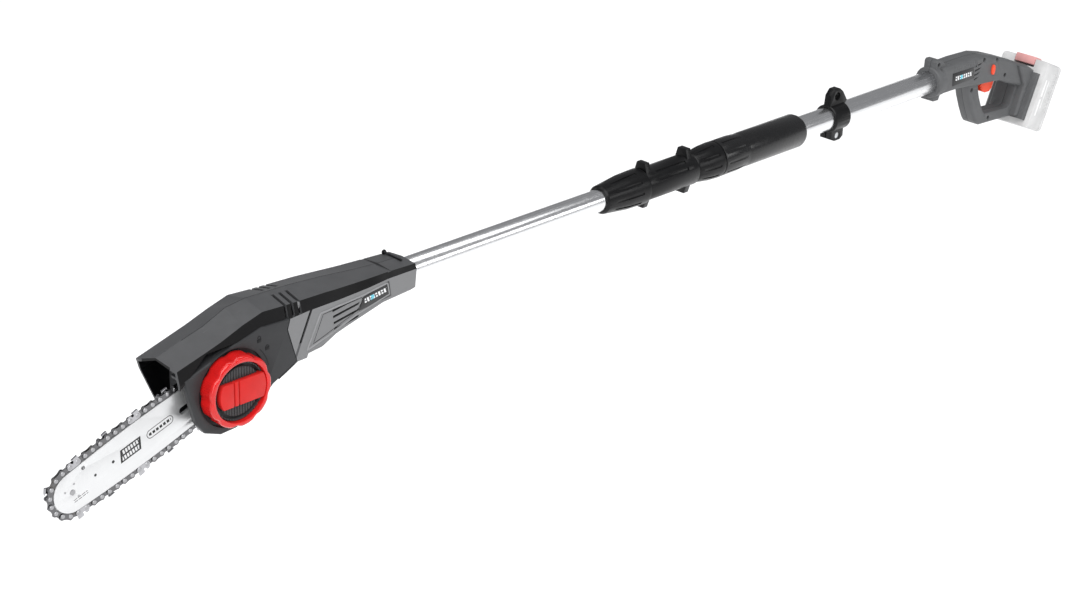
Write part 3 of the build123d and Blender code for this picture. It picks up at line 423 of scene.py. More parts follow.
# CAD nodes that stay: material, and the width in millimetres of their rounded edges
softSet = {"weld": 0.02, "flatAngle": 0.6, "edgeAngle": 34, "segments": 2, "roundAngle": 32, "crispAngle": 9}
keptNodes = {
    "head": (("head_shell_left", "head_shell_right"), 0.7),
    "cover": (("sprocket_cover",), 0.5),
    "ink": (("lock_marks",), 0.05),
    "headLabel": (("head_label",), 0.1),
    "rearLabel": (("rear_label",), 0.1),
    "zinc": (("bar_stud", "bar_plate", "sprocket_clip", "strap_screw", "strap_nut", "lock_nut", "tension_pin",
              "trigger_spring"), 0.2),
    "castAlu": (("gear_case",), 0.5),
    "motorSteel": (("shaft_bearings", "output_shaft", "drive_gear", "drive_sprocket", "motor_can", "motor_bearings",
                    "motor_shaft", "pinion", "nose_sprocket"), 0.15),
    "black": (("motor_magnets", "tension_cam", "tube_end_bush", "front_lock_nut", "front_collet",
               "coupling_sleeve", "rear_lock_nut", "strap_ring", "switch_box", "terminal_block", "oil_cap"), 0.5),
    "lockKnob": (("lock_knob",), 0.2),
    "grip": (("grip_sleeve",), 0.4),
    "copper": (("motor_armature",), 0.2),
    "tank": (("oil_tank",), 0.6),
    "bar": (("guide_bar",), 0.15),
    "rivetSteel": (("nose_rivets",), 0.1),
    "drawnTube": (("inner_tube", "outer_tube"), 0.2),
    "redGrip": (("lock_grip",), 0.6),
    "handle": (("rear_shell_left", "rear_shell_right"), 0.7),
    "orange": (("trigger", "lock_off_button"), 0.7),
    "pale": (("battery_case", "battery_lid"), 1.2),
    "paleRed": (("battery_latch",), 1.2),
    "wrap": (("battery_cells",), 0.3),
}
materials["lockKnob"] = plastic("lockKnob", {**plasticBase, "colour": (0.05, 0.05, 0.052), "roughness": 0.4})


def newTree(name, sockets):
    # geometry tree with one geometry in, one out, and the named inputs
    tree = bpy.data.node_groups.new(name, "GeometryNodeTree")
    tree.interface.new_socket("Geometry", in_out="INPUT", socket_type="NodeSocketGeometry")
    tree.interface.new_socket("Geometry", in_out="OUTPUT", socket_type="NodeSocketGeometry")
    for label, kind in sockets:
        tree.interface.new_socket(label, in_out="INPUT", socket_type="NodeSocket" + kind)
    source = tree.nodes.new("NodeGroupInput")
    inputs = {socket.name: Wire(tree, socket) for socket in source.outputs if socket.name}
    return tree, inputs


def closeTree(tree, wire):
    end = tree.nodes.new("NodeGroupOutput")
    tree.links.new(wire.socket, end.inputs[0])
    nodeTrees[tree.name] = tree
    return tree


def smoothTree():
    # shades smooth, and keeps edges sharper than the given angle crisp
    tree, inputs = newTree("smoothByAngle", [("Angle", "Float")])
    shape = inputs["Geometry"]
    shape = shape.node("GeometryNodeRemoveAttribute", None, {"Geometry": shape, "Name": "custom_normal"})
    shape = shape.node("GeometryNodeSetShadeSmooth", {"domain": "FACE"}, {"Geometry": shape, "Shade Smooth": True})
    sharp = shape.node("GeometryNodeInputMeshEdgeAngle") > inputs["Angle"]
    shape = shape.node("GeometryNodeSetShadeSmooth", {"domain": "EDGE"},
                       {"Geometry": shape, "Selection": sharp, "Shade Smooth": False})
    return closeTree(tree, shape)


def setInputs(modifier, values):
    for item in modifier.node_group.interface.items_tree:
        if item.in_out == "INPUT" and item.name in values:
            modifier[item.identifier] = values[item.name]


def softenNode(node, width, crisp):
    weld = node.modifiers.new("weld", "WELD")
    weld.merge_threshold = softSet["weld"] / 1000
    flat = node.modifiers.new("flat", "DECIMATE")
    flat.decimate_type = "DISSOLVE"
    flat.angle_limit = math.radians(softSet["flatAngle"])
    rounding = node.modifiers.new("round", "BEVEL")
    rounding.limit_method = "ANGLE"
    rounding.angle_limit = math.radians(softSet["edgeAngle"])
    rounding.width = width / 1000
    rounding.segments = softSet["segments"]
    rounding.use_clamp_overlap = True
    smooth = node.modifiers.new("smooth", "NODES")
    smooth.node_group = nodeTrees["smoothByAngle"]
    setInputs(smooth, {"Angle": math.radians(softSet["crispAngle" if crisp else "roundAngle"])})


smoothTree()
for finish, (names, width) in keptNodes.items():
    for name in names:
        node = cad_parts[name]
        node.data.materials.clear()
        node.data.materials.append(materials[finish])
        softenNode(node, width, finish == "head")
print("kept CAD nodes finished")


# Mesh helpers

def meshPiece(name, bm, place, material, smooth=32):
    bmesh.ops.remove_doubles(bm, verts=bm.verts, dist=1e-5)
    bmesh.ops.recalc_face_normals(bm, faces=bm.faces)
    mesh = bpy.data.meshes.new(name)
    bm.to_mesh(mesh)
    bm.free()
    mesh.transform(place)
    mesh.shade_smooth()
    mesh.set_sharp_from_angle(angle=math.radians(smooth))
    if material:
        mesh.materials.append(materials[material])
    piece = bpy.data.objects.new(name, mesh)
    bpy.context.scene.collection.objects.link(piece)
    return piece


def sourcePart(name, bm, place=Matrix.Identity(4)):
    # part for the node trees, in millimetres
    return meshPiece(name, bm, place, None)


def bakeModifiers(piece):
    # the finished shape as a plain mesh, with no modifier left
    bpy.context.view_layer.update()
    evaluated = piece.evaluated_get(bpy.context.evaluated_depsgraph_get())
    mesh = bpy.data.meshes.new_from_object(evaluated)
    piece.modifiers.clear()
    piece.data = mesh
    return piece


def addSlab(bm, outlines, low, high):
    # solid plate from an outline and its holes
    loops = [[Vector((x, y, 0)) for x, y in outline] for outline in outlines]
    flat = [point for loop in loops for point in loop]
    rows = [[bm.verts.new((p.x, p.y, z)) for p in flat] for z in (low, high)]
    for a, b, c in tessellate_polygon(loops):
        for row in rows:
            bm.faces.new((row[a], row[b], row[c]))
    start = 0
    for loop in loops:
        count = len(loop)
        for k in range(count):
            a, b = start + k, start + (k + 1) % count
            bm.faces.new((rows[0][a], rows[0][b], rows[1][b], rows[1][a]))
        start += count
    return bm


def roundedPart(name, outlines, low, high, bevel):
    # source part with its edges rounded
    part = sourcePart(name, addSlab(bmesh.new(), outlines, low, high))
    soft = part.modifiers.new("soft", "BEVEL")
    soft.width = bevel
    soft.segments = 2
    soft.limit_method = "ANGLE"
    soft.angle_limit = math.radians(50)
    return bakeModifiers(part)


def lathe(bm, profile, steps, swell=None):
    # closed profile of (radius, height) turned about local z
    rings = []
    for k in range(steps):
        angle = 2 * math.pi * k / steps
        ring = []
        for index, (radius, height) in enumerate(profile):
            r = radius + (swell(angle, index) if swell else 0)
            ring.append(bm.verts.new((r * math.cos(angle), r * math.sin(angle), height)))
        rings.append(ring)
    count = len(profile)
    for k in range(steps):
        here, there = rings[k], rings[(k + 1) % steps]
        for i in range(count):
            j = (i + 1) % count
            bm.faces.new((here[i], here[j], there[j], there[i]))
    return bm


def arcPoints(cx, cy, radius, start, end, steps):
    return [(cx + radius * math.cos(math.radians(start + (end - start) * k / steps)),
             cy + radius * math.sin(math.radians(start + (end - start) * k / steps))) for k in range(steps + 1)]


def grow(tree, base, values, name, place, material):
    # runs a tree on a base mesh or curve and returns the plain mesh in its place
    grower = base.modifiers.new("grow", "NODES")
    grower.node_group = nodeTrees[tree]
    setInputs(grower, {**values, "Material": materials[material]})
    bpy.context.view_layer.update()
    evaluated = base.evaluated_get(bpy.context.evaluated_depsgraph_get())
    mesh = bpy.data.meshes.new_from_object(evaluated)
    mesh.transform(place)
    base.modifiers.clear()
    piece = bpy.data.objects.new(name, mesh)
    bpy.context.scene.collection.objects.link(piece)
    return piece


def drop(*parts):
    for part in parts:
        bpy.data.objects.remove(part)


def hand(piece, body, slot, *nodes):
    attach(piece, body)
    if nodes:
        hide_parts(*nodes)
    return piece


# Chain: links are set out along the pitch line, which wraps the rim sprocket and the bar nose

chainSet = {"pitch": 9.525, "driveLinks": 33, "sprocketU": -53.4, "noseR": 25.5, "railR": 1300.0,
            "linkR": 3.2, "waist": 2.4, "plate": 1.0, "driveT": 1.3, "gap": 0.06, "bevel": 0.28, "slack": 1.0,
            "crown": 1.2}


def chainLoop():
    # radius and angle range of the four arcs, for a nose distance that fits the chain's length
    sprocketR = chainSet["pitch"] / 2 / math.sin(math.pi / 12)
    wanted = chainSet["driveLinks"] * 2 * chainSet["pitch"] + chainSet["slack"]

    def arcs(noseU):
        a, b = chainSet["railR"] - sprocketR, chainSet["railR"] - chainSet["noseR"]
        span = noseU - chainSet["sprocketU"]
        along = (a * a - b * b + span * span) / (2 * span)
        cv = -math.sqrt(a * a - along * along)
        cu = chainSet["sprocketU"] + along
        atSprocket = math.acos((chainSet["sprocketU"] - cu) / a)
        atNose = math.acos((noseU - cu) / b)
        return cu, cv, atSprocket, atNose, sprocketR

    def length(noseU):
        _, _, atSprocket, atNose, r = arcs(noseU)
        return 2 * (chainSet["noseR"] * atNose + r * (math.pi - atSprocket) + chainSet["railR"] * (atSprocket - atNose))

    low, high = 150.0, 230.0
    for _ in range(40):  # halving the range until it fits
        middle = (low + high) / 2
        low, high = (middle, high) if length(middle) < wanted else (low, middle)
    return low, arcs(low)


noseU, (railU, railV, atSprocket, atNose, sprocketR) = chainLoop()


def chainCurve():
    def arc(cu, cv, radius, start, end, steps):
        return arcPoints(cu, cv, radius, math.degrees(start), math.degrees(end), steps)[:-1]

    upper = arc(noseU, 0, chainSet["noseR"], 0, atNose, 48)
    upper += arc(railU, railV, chainSet["railR"], atNose, atSprocket, 120)
    upper += arc(chainSet["sprocketU"], 0, sprocketR, atSprocket, math.pi, 48)
    tail = (chainSet["sprocketU"] - sprocketR, 0)
    points = upper + [tail] + [(u, -v) for u, v in reversed(upper[1:])]
    curve = bpy.data.curves.new("pitchLine", "CURVE")
    curve.dimensions = "3D"
    spline = curve.splines.new("POLY")
    spline.points.add(len(points) - 1)
    for point, (u, v) in zip(spline.points, points):
        point.co = (u, v, 0, 1)
    spline.use_cyclic_u = True
    line = bpy.data.objects.new("pitchLine", curve)
    bpy.context.scene.collection.objects.link(line)
    return line


def linksTree():
    # a part on every so many steps of a closed curve, its x axis against the curve's direction
    tree, inputs = newTree("linksAlongCurve", [
        ("Steps", "Int"), ("Every", "Int"), ("First", "Int"), ("Last", "Int"), ("Leave Out", "Int"), ("Shift", "Int"),
        ("Part", "Object"), ("Material", "Material")])
    root = inputs["Geometry"]
    points = root.node("GeometryNodeCurveToPoints", {"mode": "COUNT"}, {"Curve": root, "Count": inputs["Steps"]})
    tangent = Wire(tree, points.socket.node.outputs["Tangent"]).split()
    turn = root.math("ARCTAN2", -tangent[1], -tangent[0])
    index = root.node("GeometryNodeInputIndex")
    step = index - inputs["First"]
    wanted = ((step % inputs["Every"]) < 0.5) * (index < inputs["Last"])
    free = ((index + inputs["Shift"]) % inputs["Leave Out"]) > 0.5
    spin = root.node("ShaderNodeCombineXYZ", None, {"Z": turn})
    part = root.node("GeometryNodeObjectInfo", None, {"Object": inputs["Part"]}, out="Geometry")
    chosen = wanted * free
    placed = root.node("GeometryNodeInstanceOnPoints", None,
                       {"Points": points, "Selection": chosen, "Instance": part, "Rotation": spin})
    solid = root.node("GeometryNodeRealizeInstances", None, {"Geometry": placed})
    solid = root.node("GeometryNodeSetMaterial", None, {"Geometry": solid, "Material": inputs["Material"]})
    return closeTree(tree, solid)


def linkOutline(radius, waist):
    half = chainSet["pitch"] / 2
    right = arcPoints(half, 0, radius, -90, 84, 10)
    middle = [(half * math.cos(math.pi * k / 8), waist + (radius - waist) * abs(math.cos(math.pi * k / 8)) ** 2)
              for k in range(2, 7)]
    left = arcPoints(-half, 0, radius, 96, 270, 10)
    return [(x, y * chainSet["crown"] if y > 0 else y) for x, y in right + middle + left]


def driveLinkOutline():
    half = chainSet["pitch"] / 2
    outline = linkOutline(3.3, 2.2)[2:-2]
    return outline + [(-half + 0.9, -3.6), (-3.4, -5.0), (-2.2, -6.9), (-1.0, -7.6), (0.8, -7.8), (2.4, -6.6),
                      (3.4, -5.2), (half - 0.9, -3.6)]


def cutterOutline():
    half = chainSet["pitch"] / 2
    right = arcPoints(half, 0, chainSet["linkR"], -90, 14, 7)
    gauge = [(7.4, 2.4), (6.7, 3.8), (5.6, 4.9), (4.4, 5.2), (3.3, 4.9), (2.5, 4.0), (1.8, 2.7), (0.9, 2.0),
             (-0.1, 2.2), (-0.9, 3.1), (-0.9, 4.2), (-0.2, 6.2)]
    tooth = [(-3.3, 6.7), (-6.4, 7.0), (-6.9, 6.4), (-7.0, 3.4), (-7.6, 1.4)]
    left = arcPoints(-half, 0, chainSet["linkR"], 160, 270, 7)
    return right + gauge + tooth + left


topPlateSet = {"back": -6.6, "front": -0.3, "thick": 0.9, "edgeThick": 0.8, "fall": -0.75, "low": 6.1, "rise": 0.75,
               "outer": 0.9, "width": 1.98, "splay": 0.45, "rows": 7}


def cutterPart(side):
    # side plate with a depth gauge, and a top plate curling over the chain
    look = topPlateSet
    start = chainSet["driveT"] / 2 + chainSet["gap"]
    bm = addSlab(bmesh.new(), [cutterOutline()], start, start + chainSet["plate"])
    rings = []
    for k in range(look["rows"]):
        lean = k / (look["rows"] - 1)
        reach = start + look["outer"] - look["width"] * lean
        height = look["low"] + look["rise"] * math.sin(min(1.0, lean * 1.7) * math.pi / 2)
        front = look["front"] + look["splay"] * look["width"] * lean
        rings.append([bm.verts.new(p) for p in (
            (look["back"], height, reach), (front, height + look["fall"], reach),
            (front, height + look["fall"] - look["edgeThick"], reach), (look["back"], height - look["thick"], reach))])
    for here, there in zip(rings, rings[1:]):
        for i in range(4):
            bm.faces.new((here[i], here[(i + 1) % 4], there[(i + 1) % 4], there[i]))
    bm.faces.new(rings[0])
    bm.faces.new(rings[-1])
    bmesh.ops.transform(bm, matrix=Matrix.Scale(side, 4, (0, 0, 1)), verts=bm.verts)
    return sourcePart("cutterPart", bm)


def rivetPart():
    reach = chainSet["driveT"] / 2 + chainSet["gap"] + chainSet["plate"]
    profile = [(0.0, -reach - 0.42), (1.3, -reach - 0.42), (2.1, -reach - 0.3), (2.4, -reach + 0.05),
               (1.8, -reach + 0.1), (1.8, reach - 0.1), (2.4, reach - 0.05), (2.1, reach + 0.3), (1.3, reach + 0.42),
               (1.15, reach + 0.3), (0.0, reach + 0.3)]
    return sourcePart("rivetPart", lathe(bmesh.new(), profile, 14))


def buildChain():
    linksTree()
    line = chainCurve()
    half = chainSet["driveT"] / 2
    start = half + chainSet["gap"]
    top = start + chainSet["plate"]
    links = 4 * chainSet["driveLinks"]  # steps of half a rivet spacing
    strap, bevel = [linkOutline(chainSet["linkR"], chainSet["waist"])], chainSet["bevel"]
    drive = roundedPart("drivePart", [driveLinkOutline()], -half, half, bevel)
    near = roundedPart("nearStrap", strap, -top, -start, bevel)
    far = roundedPart("farStrap", strap, start, top, bevel)
    leftCutter, rightCutter, rivet = cutterPart(-1), cutterPart(1), rivetPart()
    # places left free for cutters: every so many steps, counted from a shifted start
    nearGap, farGap, never = (16, 5), (16, 13), (10 ** 6, 1)
    rows = {
        "chainDrive": (drive, 4, 1, links, never, "chainSteel", "drive_links"),
        "chainCutterRight": (rightCutter, 16, 3, links - 4, never, "cutterSteel", "cutters_right"),
        "chainCutterLeft": (leftCutter, 16, 11, links - 4, never, "cutterSteel", "cutters_left"),
        "chainRivets": (rivet, 2, 0, links, never, "rivetSteel", "chain_rivets"),
        "chainStrapNear": (near, 4, 3, links, nearGap, "chainSteel", "tie_straps"),
        "chainStrapFar": (far, 4, 3, links, farGap, "chainSteel", None),
    }
    for name, (part, every, first, last, (leaveOut, shifted), finish, node) in rows.items():
        values = {"Steps": links, "Every": every, "First": first, "Last": last, "Leave Out": leaveOut,
                  "Shift": shifted, "Part": part}
        piece = grow("linksAlongCurve", line, values, name, barPlace, finish)
        hand(piece, "saw_head", "chain_steel", *([node] if node else []))
        print(name, "faces:", len(piece.data.polygons))
    drop(line, drive, near, far, leftCutter, rightCutter, rivet)


# Strips and raised frames that follow a housing's skin

def skinOf(name):
    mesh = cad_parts[name].data
    return BVHTree.FromPolygons([v.co for v in mesh.vertices], [tuple(face.vertices) for face in mesh.polygons])


def drape(skin, path, side, gap=2.0):
    # points and outward normals on the skin, under a closed path of (x, z)
    found = []
    for (x0, z0), (x1, z1) in zip(path, path[1:] + path[:1]):
        steps = max(1, round(math.hypot(x1 - x0, z1 - z0) / gap))
        for k in range(steps):
            x, z = x0 + (x1 - x0) * k / steps, z0 + (z1 - z0) * k / steps
            point, normal, _, _ = skin.ray_cast(at(x, side * 60, z), Vector((0, -side, 0)))
            if point:
                found.append((point, normal if normal.y * side > 0 else -normal))
    return found


def addStrip(bm, points, width, height, closed=True, sink=0.4):
    # low strip with sloping sides along points that carry normals
    count = len(points)
    rings = []
    for k, (point, normal) in enumerate(points):
        before = points[(k - 1) % count if closed else max(0, k - 1)][0]
        after = points[(k + 1) % count if closed else min(count - 1, k + 1)][0]
        across = normal.cross(after - before).normalized() * width / 2
        rings.append([bm.verts.new(p) for p in (
            point + across - normal * sink, point + across * 0.7 + normal * height,
            point - across * 0.7 + normal * height, point - across - normal * sink)])
    pairs = list(zip(rings, rings[1:])) + ([(rings[-1], rings[0])] if closed else [])
    for here, there in pairs:
        for i in range(4):
            bm.faces.new((here[i], here[(i + 1) % 4], there[(i + 1) % 4], there[i]))
    if not closed:
        bm.faces.new(rings[0])
        bm.faces.new(rings[-1])
    return bm


panelSet = {
    "rim": [(117, 2), (150, 2.4), (177, 3.4), (213, 6.6), (217, -8), (169, -16.5), (131, -26.5), (98, -33.5)],
    "shadow": [(121, -0.4), (150, 0.2), (176, 1.2), (178, -2), (170, -12.5), (132, -23), (107, -29.5)],
    "rimWidth": 2.2, "rimHeight": 0.8, "shadowWidth": 0.9, "shadowHeight": 0.06,
}


def buildPanels():
    # raised frame round the vents and label on each side of the head, with a fine dark line inside it that is a painted
    # shadow gap
    for side, node, tag in ((-1, "head_shell_left", "Left"), (1, "head_shell_right", "Right")):
        skin = skinOf(node)
        for part, finish in (("rim", "trim"), ("shadow", "ink")):
            points = drape(skin, panelSet[part], side)
            bm = addStrip(bmesh.new(), points, panelSet[part + "Width"] / 1000, panelSet[part + "Height"] / 1000,
                          sink=0.0003)
            hand(meshPiece("panel" + part.capitalize() + tag, bm, Matrix.Identity(4), finish),
                 "saw_head", "charcoal_plastic")


# Knob: red outer wheel that sets the chain's tension

wheelSet = {"radius": 38.9, "back": 26.6, "front": 46.0, "lip": 32.4, "floor": 29.4, "bore": 9.2, "lobes": 9,
            "lobeDepth": 1.9, "teeth": 108, "toothDepth": 0.55, "steps": 432}


def wheelSwell(angle, weight):
    # smooth finger lobes, with fine teeth on the flank between them
    phase = (angle * wheelSet["lobes"] / (2 * math.pi)) % 1.0
    dip = math.cos((phase - 0.5) * 2 * math.pi) * 0.5 + 0.5
    lobe = wheelSet["lobeDepth"] * dip ** 3
    tooth = wheelSet["toothDepth"] * (0.5 - 0.5 * math.cos(angle * wheelSet["teeth"])) * (1 - dip) ** 0.5
    return -lobe * weight[0] - tooth * weight[1]


def wheelRing():
    # (radius, height, (share of the lobes, share of the teeth)) round the ring's section
    outer, lip, bore = wheelSet["radius"], wheelSet["lip"], wheelSet["bore"]
    back, front, floor = wheelSet["back"], wheelSet["front"], wheelSet["floor"]
    return [
        (bore, floor - 2.6, (0, 0)), (outer - 4.0, back + 0.3, (0.3, 0)), (outer - 1.0, back + 0.4, (1, 0)),
        (outer, back + 1.6, (1, 0)), (outer, back + 3.0, (1, 1)), (outer, front - 5.2, (1, 1)),
        (outer, front - 4.0, (1, 0)), (outer - 0.4, front - 2.0, (1, 0)), (outer - 1.4, front - 0.7, (0.9, 0)),
        (outer - 2.6, front, (0.7, 0)), (lip + 1.2, front, (0, 0)), (lip + 0.3, front - 0.4, (0, 0)),
        (lip, front - 1.4, (0, 0)), (lip, floor, (0, 0)), (bore, floor, (0, 0)),
    ]


def buildWheel():
    ring = wheelRing()
    bm = lathe(bmesh.new(), [(radius, height) for radius, height, _ in ring], wheelSet["steps"],
               lambda angle, index: wheelSwell(angle, ring[index][2]))
    hand(meshPiece("tensionRing", bm, knobPlace, "red", 40), "tensioner", "red_plastic", "tension_wheel")


# Repeated details

def rowTree():
    # a part repeated along a straight row
    tree, inputs = newTree("partsInRow", [("Count", "Int"), ("Step", "Vector"), ("Part", "Object"),
                                          ("Material", "Material")])
    root = inputs["Geometry"]
    index = root.node("GeometryNodeInputIndex")
    place = root.node("ShaderNodeVectorMath", {"operation": "SCALE"}, {0: inputs["Step"], "Scale": index})
    points = root.node("GeometryNodePoints", None, {"Count": inputs["Count"], "Position": place})
    return closeParts(tree, inputs, points)


def spotsTree():
    # a part on every point of the base mesh
    tree, inputs = newTree("partsOnSpots", [("Part", "Object"), ("Material", "Material")])
    points = inputs["Geometry"].node("GeometryNodeMeshToPoints", None, {"Mesh": inputs["Geometry"]})
    return closeParts(tree, inputs, points)


def closeParts(tree, inputs, points):
    part = points.node("GeometryNodeObjectInfo", None, {"Object": inputs["Part"]}, out="Geometry")
    placed = points.node("GeometryNodeInstanceOnPoints", None, {"Points": points, "Instance": part})
    solid = points.node("GeometryNodeRealizeInstances", None, {"Geometry": placed})
    solid = points.node("GeometryNodeSetMaterial", None, {"Geometry": solid, "Material": inputs["Material"]})
    return closeTree(tree, solid)


def benchPoints(spots=()):
    # base mesh whose points the trees read
    mesh = bpy.data.meshes.new("bench")
    mesh.from_pydata([tuple(spot) for spot in spots], [], [])
    bench = bpy.data.objects.new("bench", mesh)
    bpy.context.scene.collection.objects.link(bench)
    return bench


def repeat(tree, part, values, name, place, finish, body, slotName, nodes=(), spots=()):
    bench = benchPoints(spots)
    piece = hand(grow(tree, bench, {**values, "Part": part}, name, place, finish), body, slotName, *nodes)
    drop(bench, part)
    return piece


screwSet = {"headR": 2.85, "headHeight": 2.0, "slotLong": 1.9, "slotWide": 0.55, "slotDeep": 1.1, "shaftR": 1.45,
            "headShaft": 28.0, "headSeat": 17.1, "handleShaft": 12.0, "handleSink": 5.0}
headScrews = [(88, 19), (92, -36), (180, 13), (176, -16), (246, 19), (-24, 1)]
handleScrews = [(1215, 25, 10), (1311, 13.5, 18), (1343, 7, 18), (1366, -20, 18), (1296, -28, 12.5),
                (1344, -79, 12.5)]


def screwPart(shaft):
    # cross-recessed screw; local z points out of its head, z = 0 under the head
    look = screwSet
    top = look["headHeight"]
    profile = [(0.0, -shaft), (look["shaftR"] * 0.6, -shaft), (look["shaftR"], -shaft + 1.5), (look["shaftR"], 0.0),
               (look["headR"], 0.0), (look["headR"], top * 0.6), (look["headR"] * 0.85, top * 0.92),
               (look["headR"] * 0.6, top), (0.0, top)]
    screw = sourcePart("screwPart", lathe(bmesh.new(), profile, 24))
    long, wide = look["slotLong"], look["slotWide"]
    cross = [(long, -wide), (long, wide), (wide, wide), (wide, long), (-wide, long), (-wide, wide), (-long, wide),
             (-long, -wide), (-wide, -wide), (-wide, -long), (wide, -long), (wide, -wide)]
    cutter = sourcePart("crossPart", addSlab(bmesh.new(), [cross], top - look["slotDeep"], top + 1))
    recess = screw.modifiers.new("recess", "BOOLEAN")
    recess.operation = "DIFFERENCE"
    recess.object = cutter
    bakeModifiers(screw)
    drop(cutter)
    return screw


def buildScrews():
    towardsUs = placeMatrix(at(0, 0, 0), (1, 0, 0), (0, 0, 1), (0, -1, 0))
    awayFromUs = placeMatrix(at(0, 0, 0), (-1, 0, 0), (0, 0, 1), (0, 1, 0))
    repeat("partsOnSpots", screwPart(screwSet["headShaft"]), {}, "headScrewSet", awayFromUs, "darkZinc", "saw_head",
           "plated_steel", ("head_screws",), [(-x, z, screwSet["headSeat"]) for x, z in headScrews])
    repeat("partsOnSpots", screwPart(screwSet["handleShaft"]), {}, "handleScrewSet", towardsUs, "ink", "pole_base",
           "plated_steel", ("rear_screws",), [(x, z, half - screwSet["handleSink"]) for x, z, half in handleScrews])


armSet = {"count": 11, "first": 1243.0, "step": (5.2, 0, -0.11), "width": 2.7, "height": 0.35,
          "half": 18.0, "corner": 5.0, "top": 20.55, "foot": 9.0, "turns": 6}


def archPart():
    # rib over the top of the handle's arm
    half, corner, top, foot, turns = (armSet[key] for key in ("half", "corner", "top", "foot", "turns"))
    points = [(Vector((0, -half, foot)), Vector((0, -1, 0)))]
    for side in (-1, 1):
        for k in range(turns + 1):
            angle = math.radians(90 * (k if side < 0 else turns - k) / turns)
            normal = Vector((0, side * math.cos(angle), math.sin(angle)))
            points.append((Vector((0, side * (half - corner), top - corner)) + normal * corner, normal))
    points.append((Vector((0, half, foot)), Vector((0, 1, 0))))
    return sourcePart("archPart", addStrip(bmesh.new(), points, armSet["width"], armSet["height"], False))


foldSet = {"half": 31.0, "low": -69.0, "high": -1.0, "depths": (-2.4, -6.2), "corner": 1.5, "width": 1.3,
           "height": 0.25}


def flangeLoop(depth):
    # closed loop round the foot's flange at one depth, with outward normals
    points = []
    corner = foldSet["corner"]
    for signS, signY in ((1, 1), (-1, 1), (-1, -1), (1, -1)):
        s = foldSet["high" if signS > 0 else "low"] - signS * corner
        y = signY * (foldSet["half"] - corner)
        for k in range(4):
            a = math.radians(90 * k / 3)
            along, across = (math.cos(a), math.sin(a)) if signS * signY < 0 else (math.sin(a), math.cos(a))
            normal = Vector((signS * along, signY * across, 0))
            points.append((Vector((s, y, depth)) + normal * corner, normal))
    return points


def buildHandleDetails():
    repeat("partsInRow", archPart(), {"Count": armSet["count"], "Step": armSet["step"]}, "armRibs",
           polePlace @ Matrix.Translation((armSet["first"], 0, 0)), "handle", "pole_base", "charcoal_plastic")
    # the first strip is black, a painted shadow in the gap round the flange; the second is a grey ridge
    for number, depth in enumerate(foldSet["depths"]):
        bm = addStrip(bmesh.new(), flangeLoop(depth), foldSet["width"], foldSet["height"])
        hand(meshPiece(f"flangeRidge{number + 1}", bm, footPlace, "trim" if number else "ink", 40),
             "pole_base", "charcoal_plastic")


# ribs: (length, width, height); prints: (start, end, offset, width) along the pack's near side
batterySet = {"half": 38.0, "count": 9, "step": (-6.4, 0, 0), "first": 4.0, "middle": 30.5, "rib": (9.0, 2.2, 0.7),
              "prints": ((-6, -30, 11.0, 4.4), (-34, -58, 11.0, 4.4), (-6, -46, 18.0, 1.6)), "printHeight": 0.12}


def sideStrip(start, end, width, height):
    out = Vector((0, 1, 0))
    return addStrip(bmesh.new(), [(Vector(start), out), (Vector(end), out)], width, height, False, 0.2)


def buildBatteryDetails():
    # grip ribs low on both flanks of the pack, and plain printed bars
    length, width, height = batterySet["rib"]
    half = batterySet["half"]
    for turned, tag in ((0, "Near"), (math.pi, "Far")):
        rib = sourcePart("ribPart", sideStrip((0, half, -length / 2), (0, half, length / 2), width, height))
        place = (footPlace @ Matrix.Translation((batterySet["first"], 0, batterySet["middle"]))
                 @ Matrix.Rotation(turned, 4, "X"))
        repeat("partsInRow", rib, {"Count": batterySet["count"], "Step": batterySet["step"]}, "packRibs" + tag, place,
               "pale", "battery", "pale_plastic")
    for number, (start, end, offset, width) in enumerate(batterySet["prints"]):
        bm = sideStrip((start, half, offset), (end, half, offset), width, batterySet["printHeight"])
        hand(meshPiece(f"packPrint{number + 1}", bm, footPlace, "palePrint"), "battery", "label_print")


# Camera, lights and floor

cameraSet = {"x": -2.2846, "y": -1.6949, "z": 0.9732, "look": (0.6556, 0.6337, -0.4107), "roll": -1.778, "lens": 77.34,
             "sensor": 36.0}


def addCamera():
    data = bpy.data.cameras.new("camera")
    data.lens = cameraSet["lens"]
    data.sensor_width = cameraSet["sensor"]
    data.clip_end = 60.0
    camera = bpy.data.objects.new("camera", data)
    look = Vector(cameraSet["look"]).normalized()
    turn = Quaternion(look, math.radians(cameraSet["roll"])) @ look.to_track_quat("-Z", "Y")
    camera.rotation_mode = "QUATERNION"
    camera.rotation_quaternion = turn
    camera.location = (cameraSet["x"], cameraSet["y"], cameraSet["z"])
    bpy.context.scene.collection.objects.link(camera)
    bpy.context.scene.camera = camera


lightSet = {
    "overhead": {"place": (-0.3, 0.1, 1.9), "aim": (-0.4, 0.0, -0.1), "size": (3.0, 0.7), "watts": 16},
    "front": {"place": (-2.6, -1.2, 0.5), "aim": (-0.9, 0.0, -0.05), "size": (1.0, 1.4), "watts": 12},
    "side": {"place": (0.7, -2.4, 0.9), "aim": (0.1, 0.0, -0.05), "size": (2.2, 0.7), "watts": 16},
}
sunSet = {"place": (-1.5, -1.2, 2.6), "aim": (-0.3, 0.1, 0.0), "strength": 2.1, "angle": 50}
studioSet = {"world": (0.96, 0.97, 1.0), "worldStrength": 0.26, "floorDrop": 0.5, "floorSize": 60.0,
             "floorX": -0.4, "floorColour": (0.95, 0.95, 0.95), "floorGlow": 0.26}


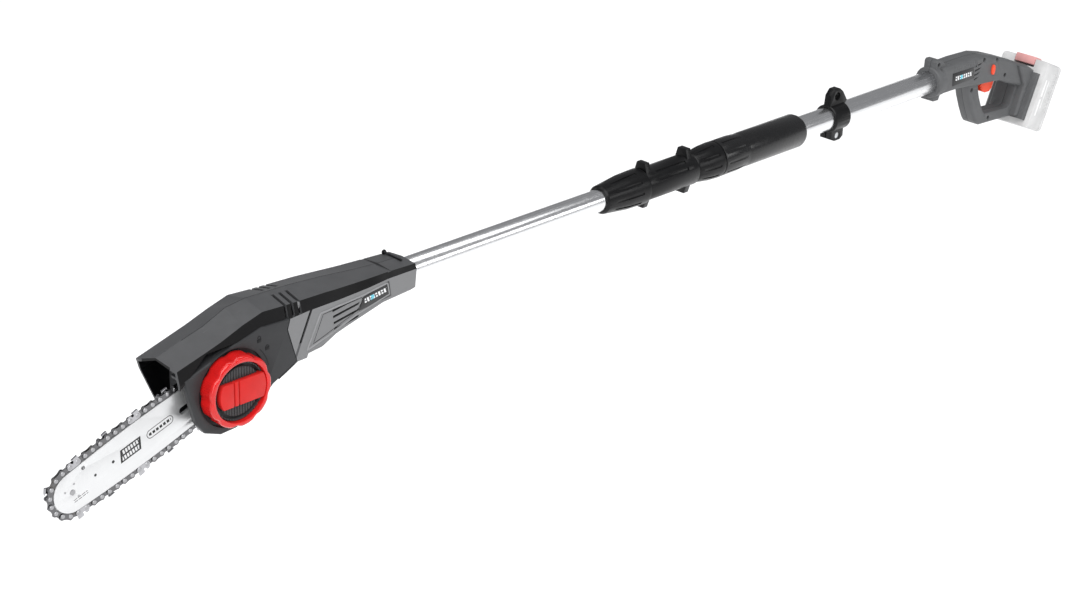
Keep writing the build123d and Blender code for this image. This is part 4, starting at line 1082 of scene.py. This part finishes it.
def aimLight(name, data, look):
    light = bpy.data.objects.new(name, data)
    light.location = look["place"]
    light.rotation_mode = "QUATERNION"
    light.rotation_quaternion = (Vector(look["aim"]) - Vector(look["place"])).to_track_quat("-Z", "Y")
    bpy.context.scene.collection.objects.link(light)


def addStudio():
    for name, look in lightSet.items():
        data = bpy.data.lights.new(name, "AREA")
        data.shape = "RECTANGLE"
        data.size, data.size_y = look["size"]
        data.energy = look["watts"]
        aimLight(name, data, look)
    data = bpy.data.lights.new("sun", "SUN")
    data.energy = sunSet["strength"]
    data.angle = math.radians(sunSet["angle"])
    aimLight("sun", data, sunSet)
    world = bpy.data.worlds.new("studio")
    world.use_nodes = True
    backdrop = world.node_tree.nodes["Background"]
    backdrop.inputs["Color"].default_value = (*studioSet["world"], 1)
    backdrop.inputs["Strength"].default_value = studioSet["worldStrength"]
    bpy.context.scene.world = world
    bpy.context.scene.view_settings.view_transform = "Standard"
    material, root, shader = newMaterial("floor", {})
    cloud = noise(root, objectPlace(root), 900.0, 1.0)
    feed(root, shader, Base_Color=mixColour(cloud, shift(studioSet["floorColour"], 0.985), studioSet["floorColour"]),
         Roughness=0.85 + cloud * 0.1)
    shader.inputs["Emission Color"].default_value = (*studioSet["floorColour"], 1)
    shader.inputs["Emission Strength"].default_value = studioSet["floorGlow"]
    half = studioSet["floorSize"] / 2
    height = cadBox[0].z - studioSet["floorDrop"]
    bm = bmesh.new()
    bm.faces.new([bm.verts.new((x + studioSet["floorX"], y, height)) for x, y in
                  ((-half, -half), (half, -half), (half, half), (-half, half))])
    mesh = bpy.data.meshes.new("floor")
    bm.to_mesh(mesh)
    bm.free()
    mesh.materials.append(material)
    floor = bpy.data.objects.new("floor", mesh)
    bpy.context.scene.collection.objects.link(floor)


addCamera()
addStudio()
print("camera, lights and floor placed")
buildChain()
print("chain built")
rowTree()
spotsTree()
buildPanels()
buildWheel()
print("head details built")
buildScrews()
buildHandleDetails()
buildBatteryDetails()
print("handle and battery details built")
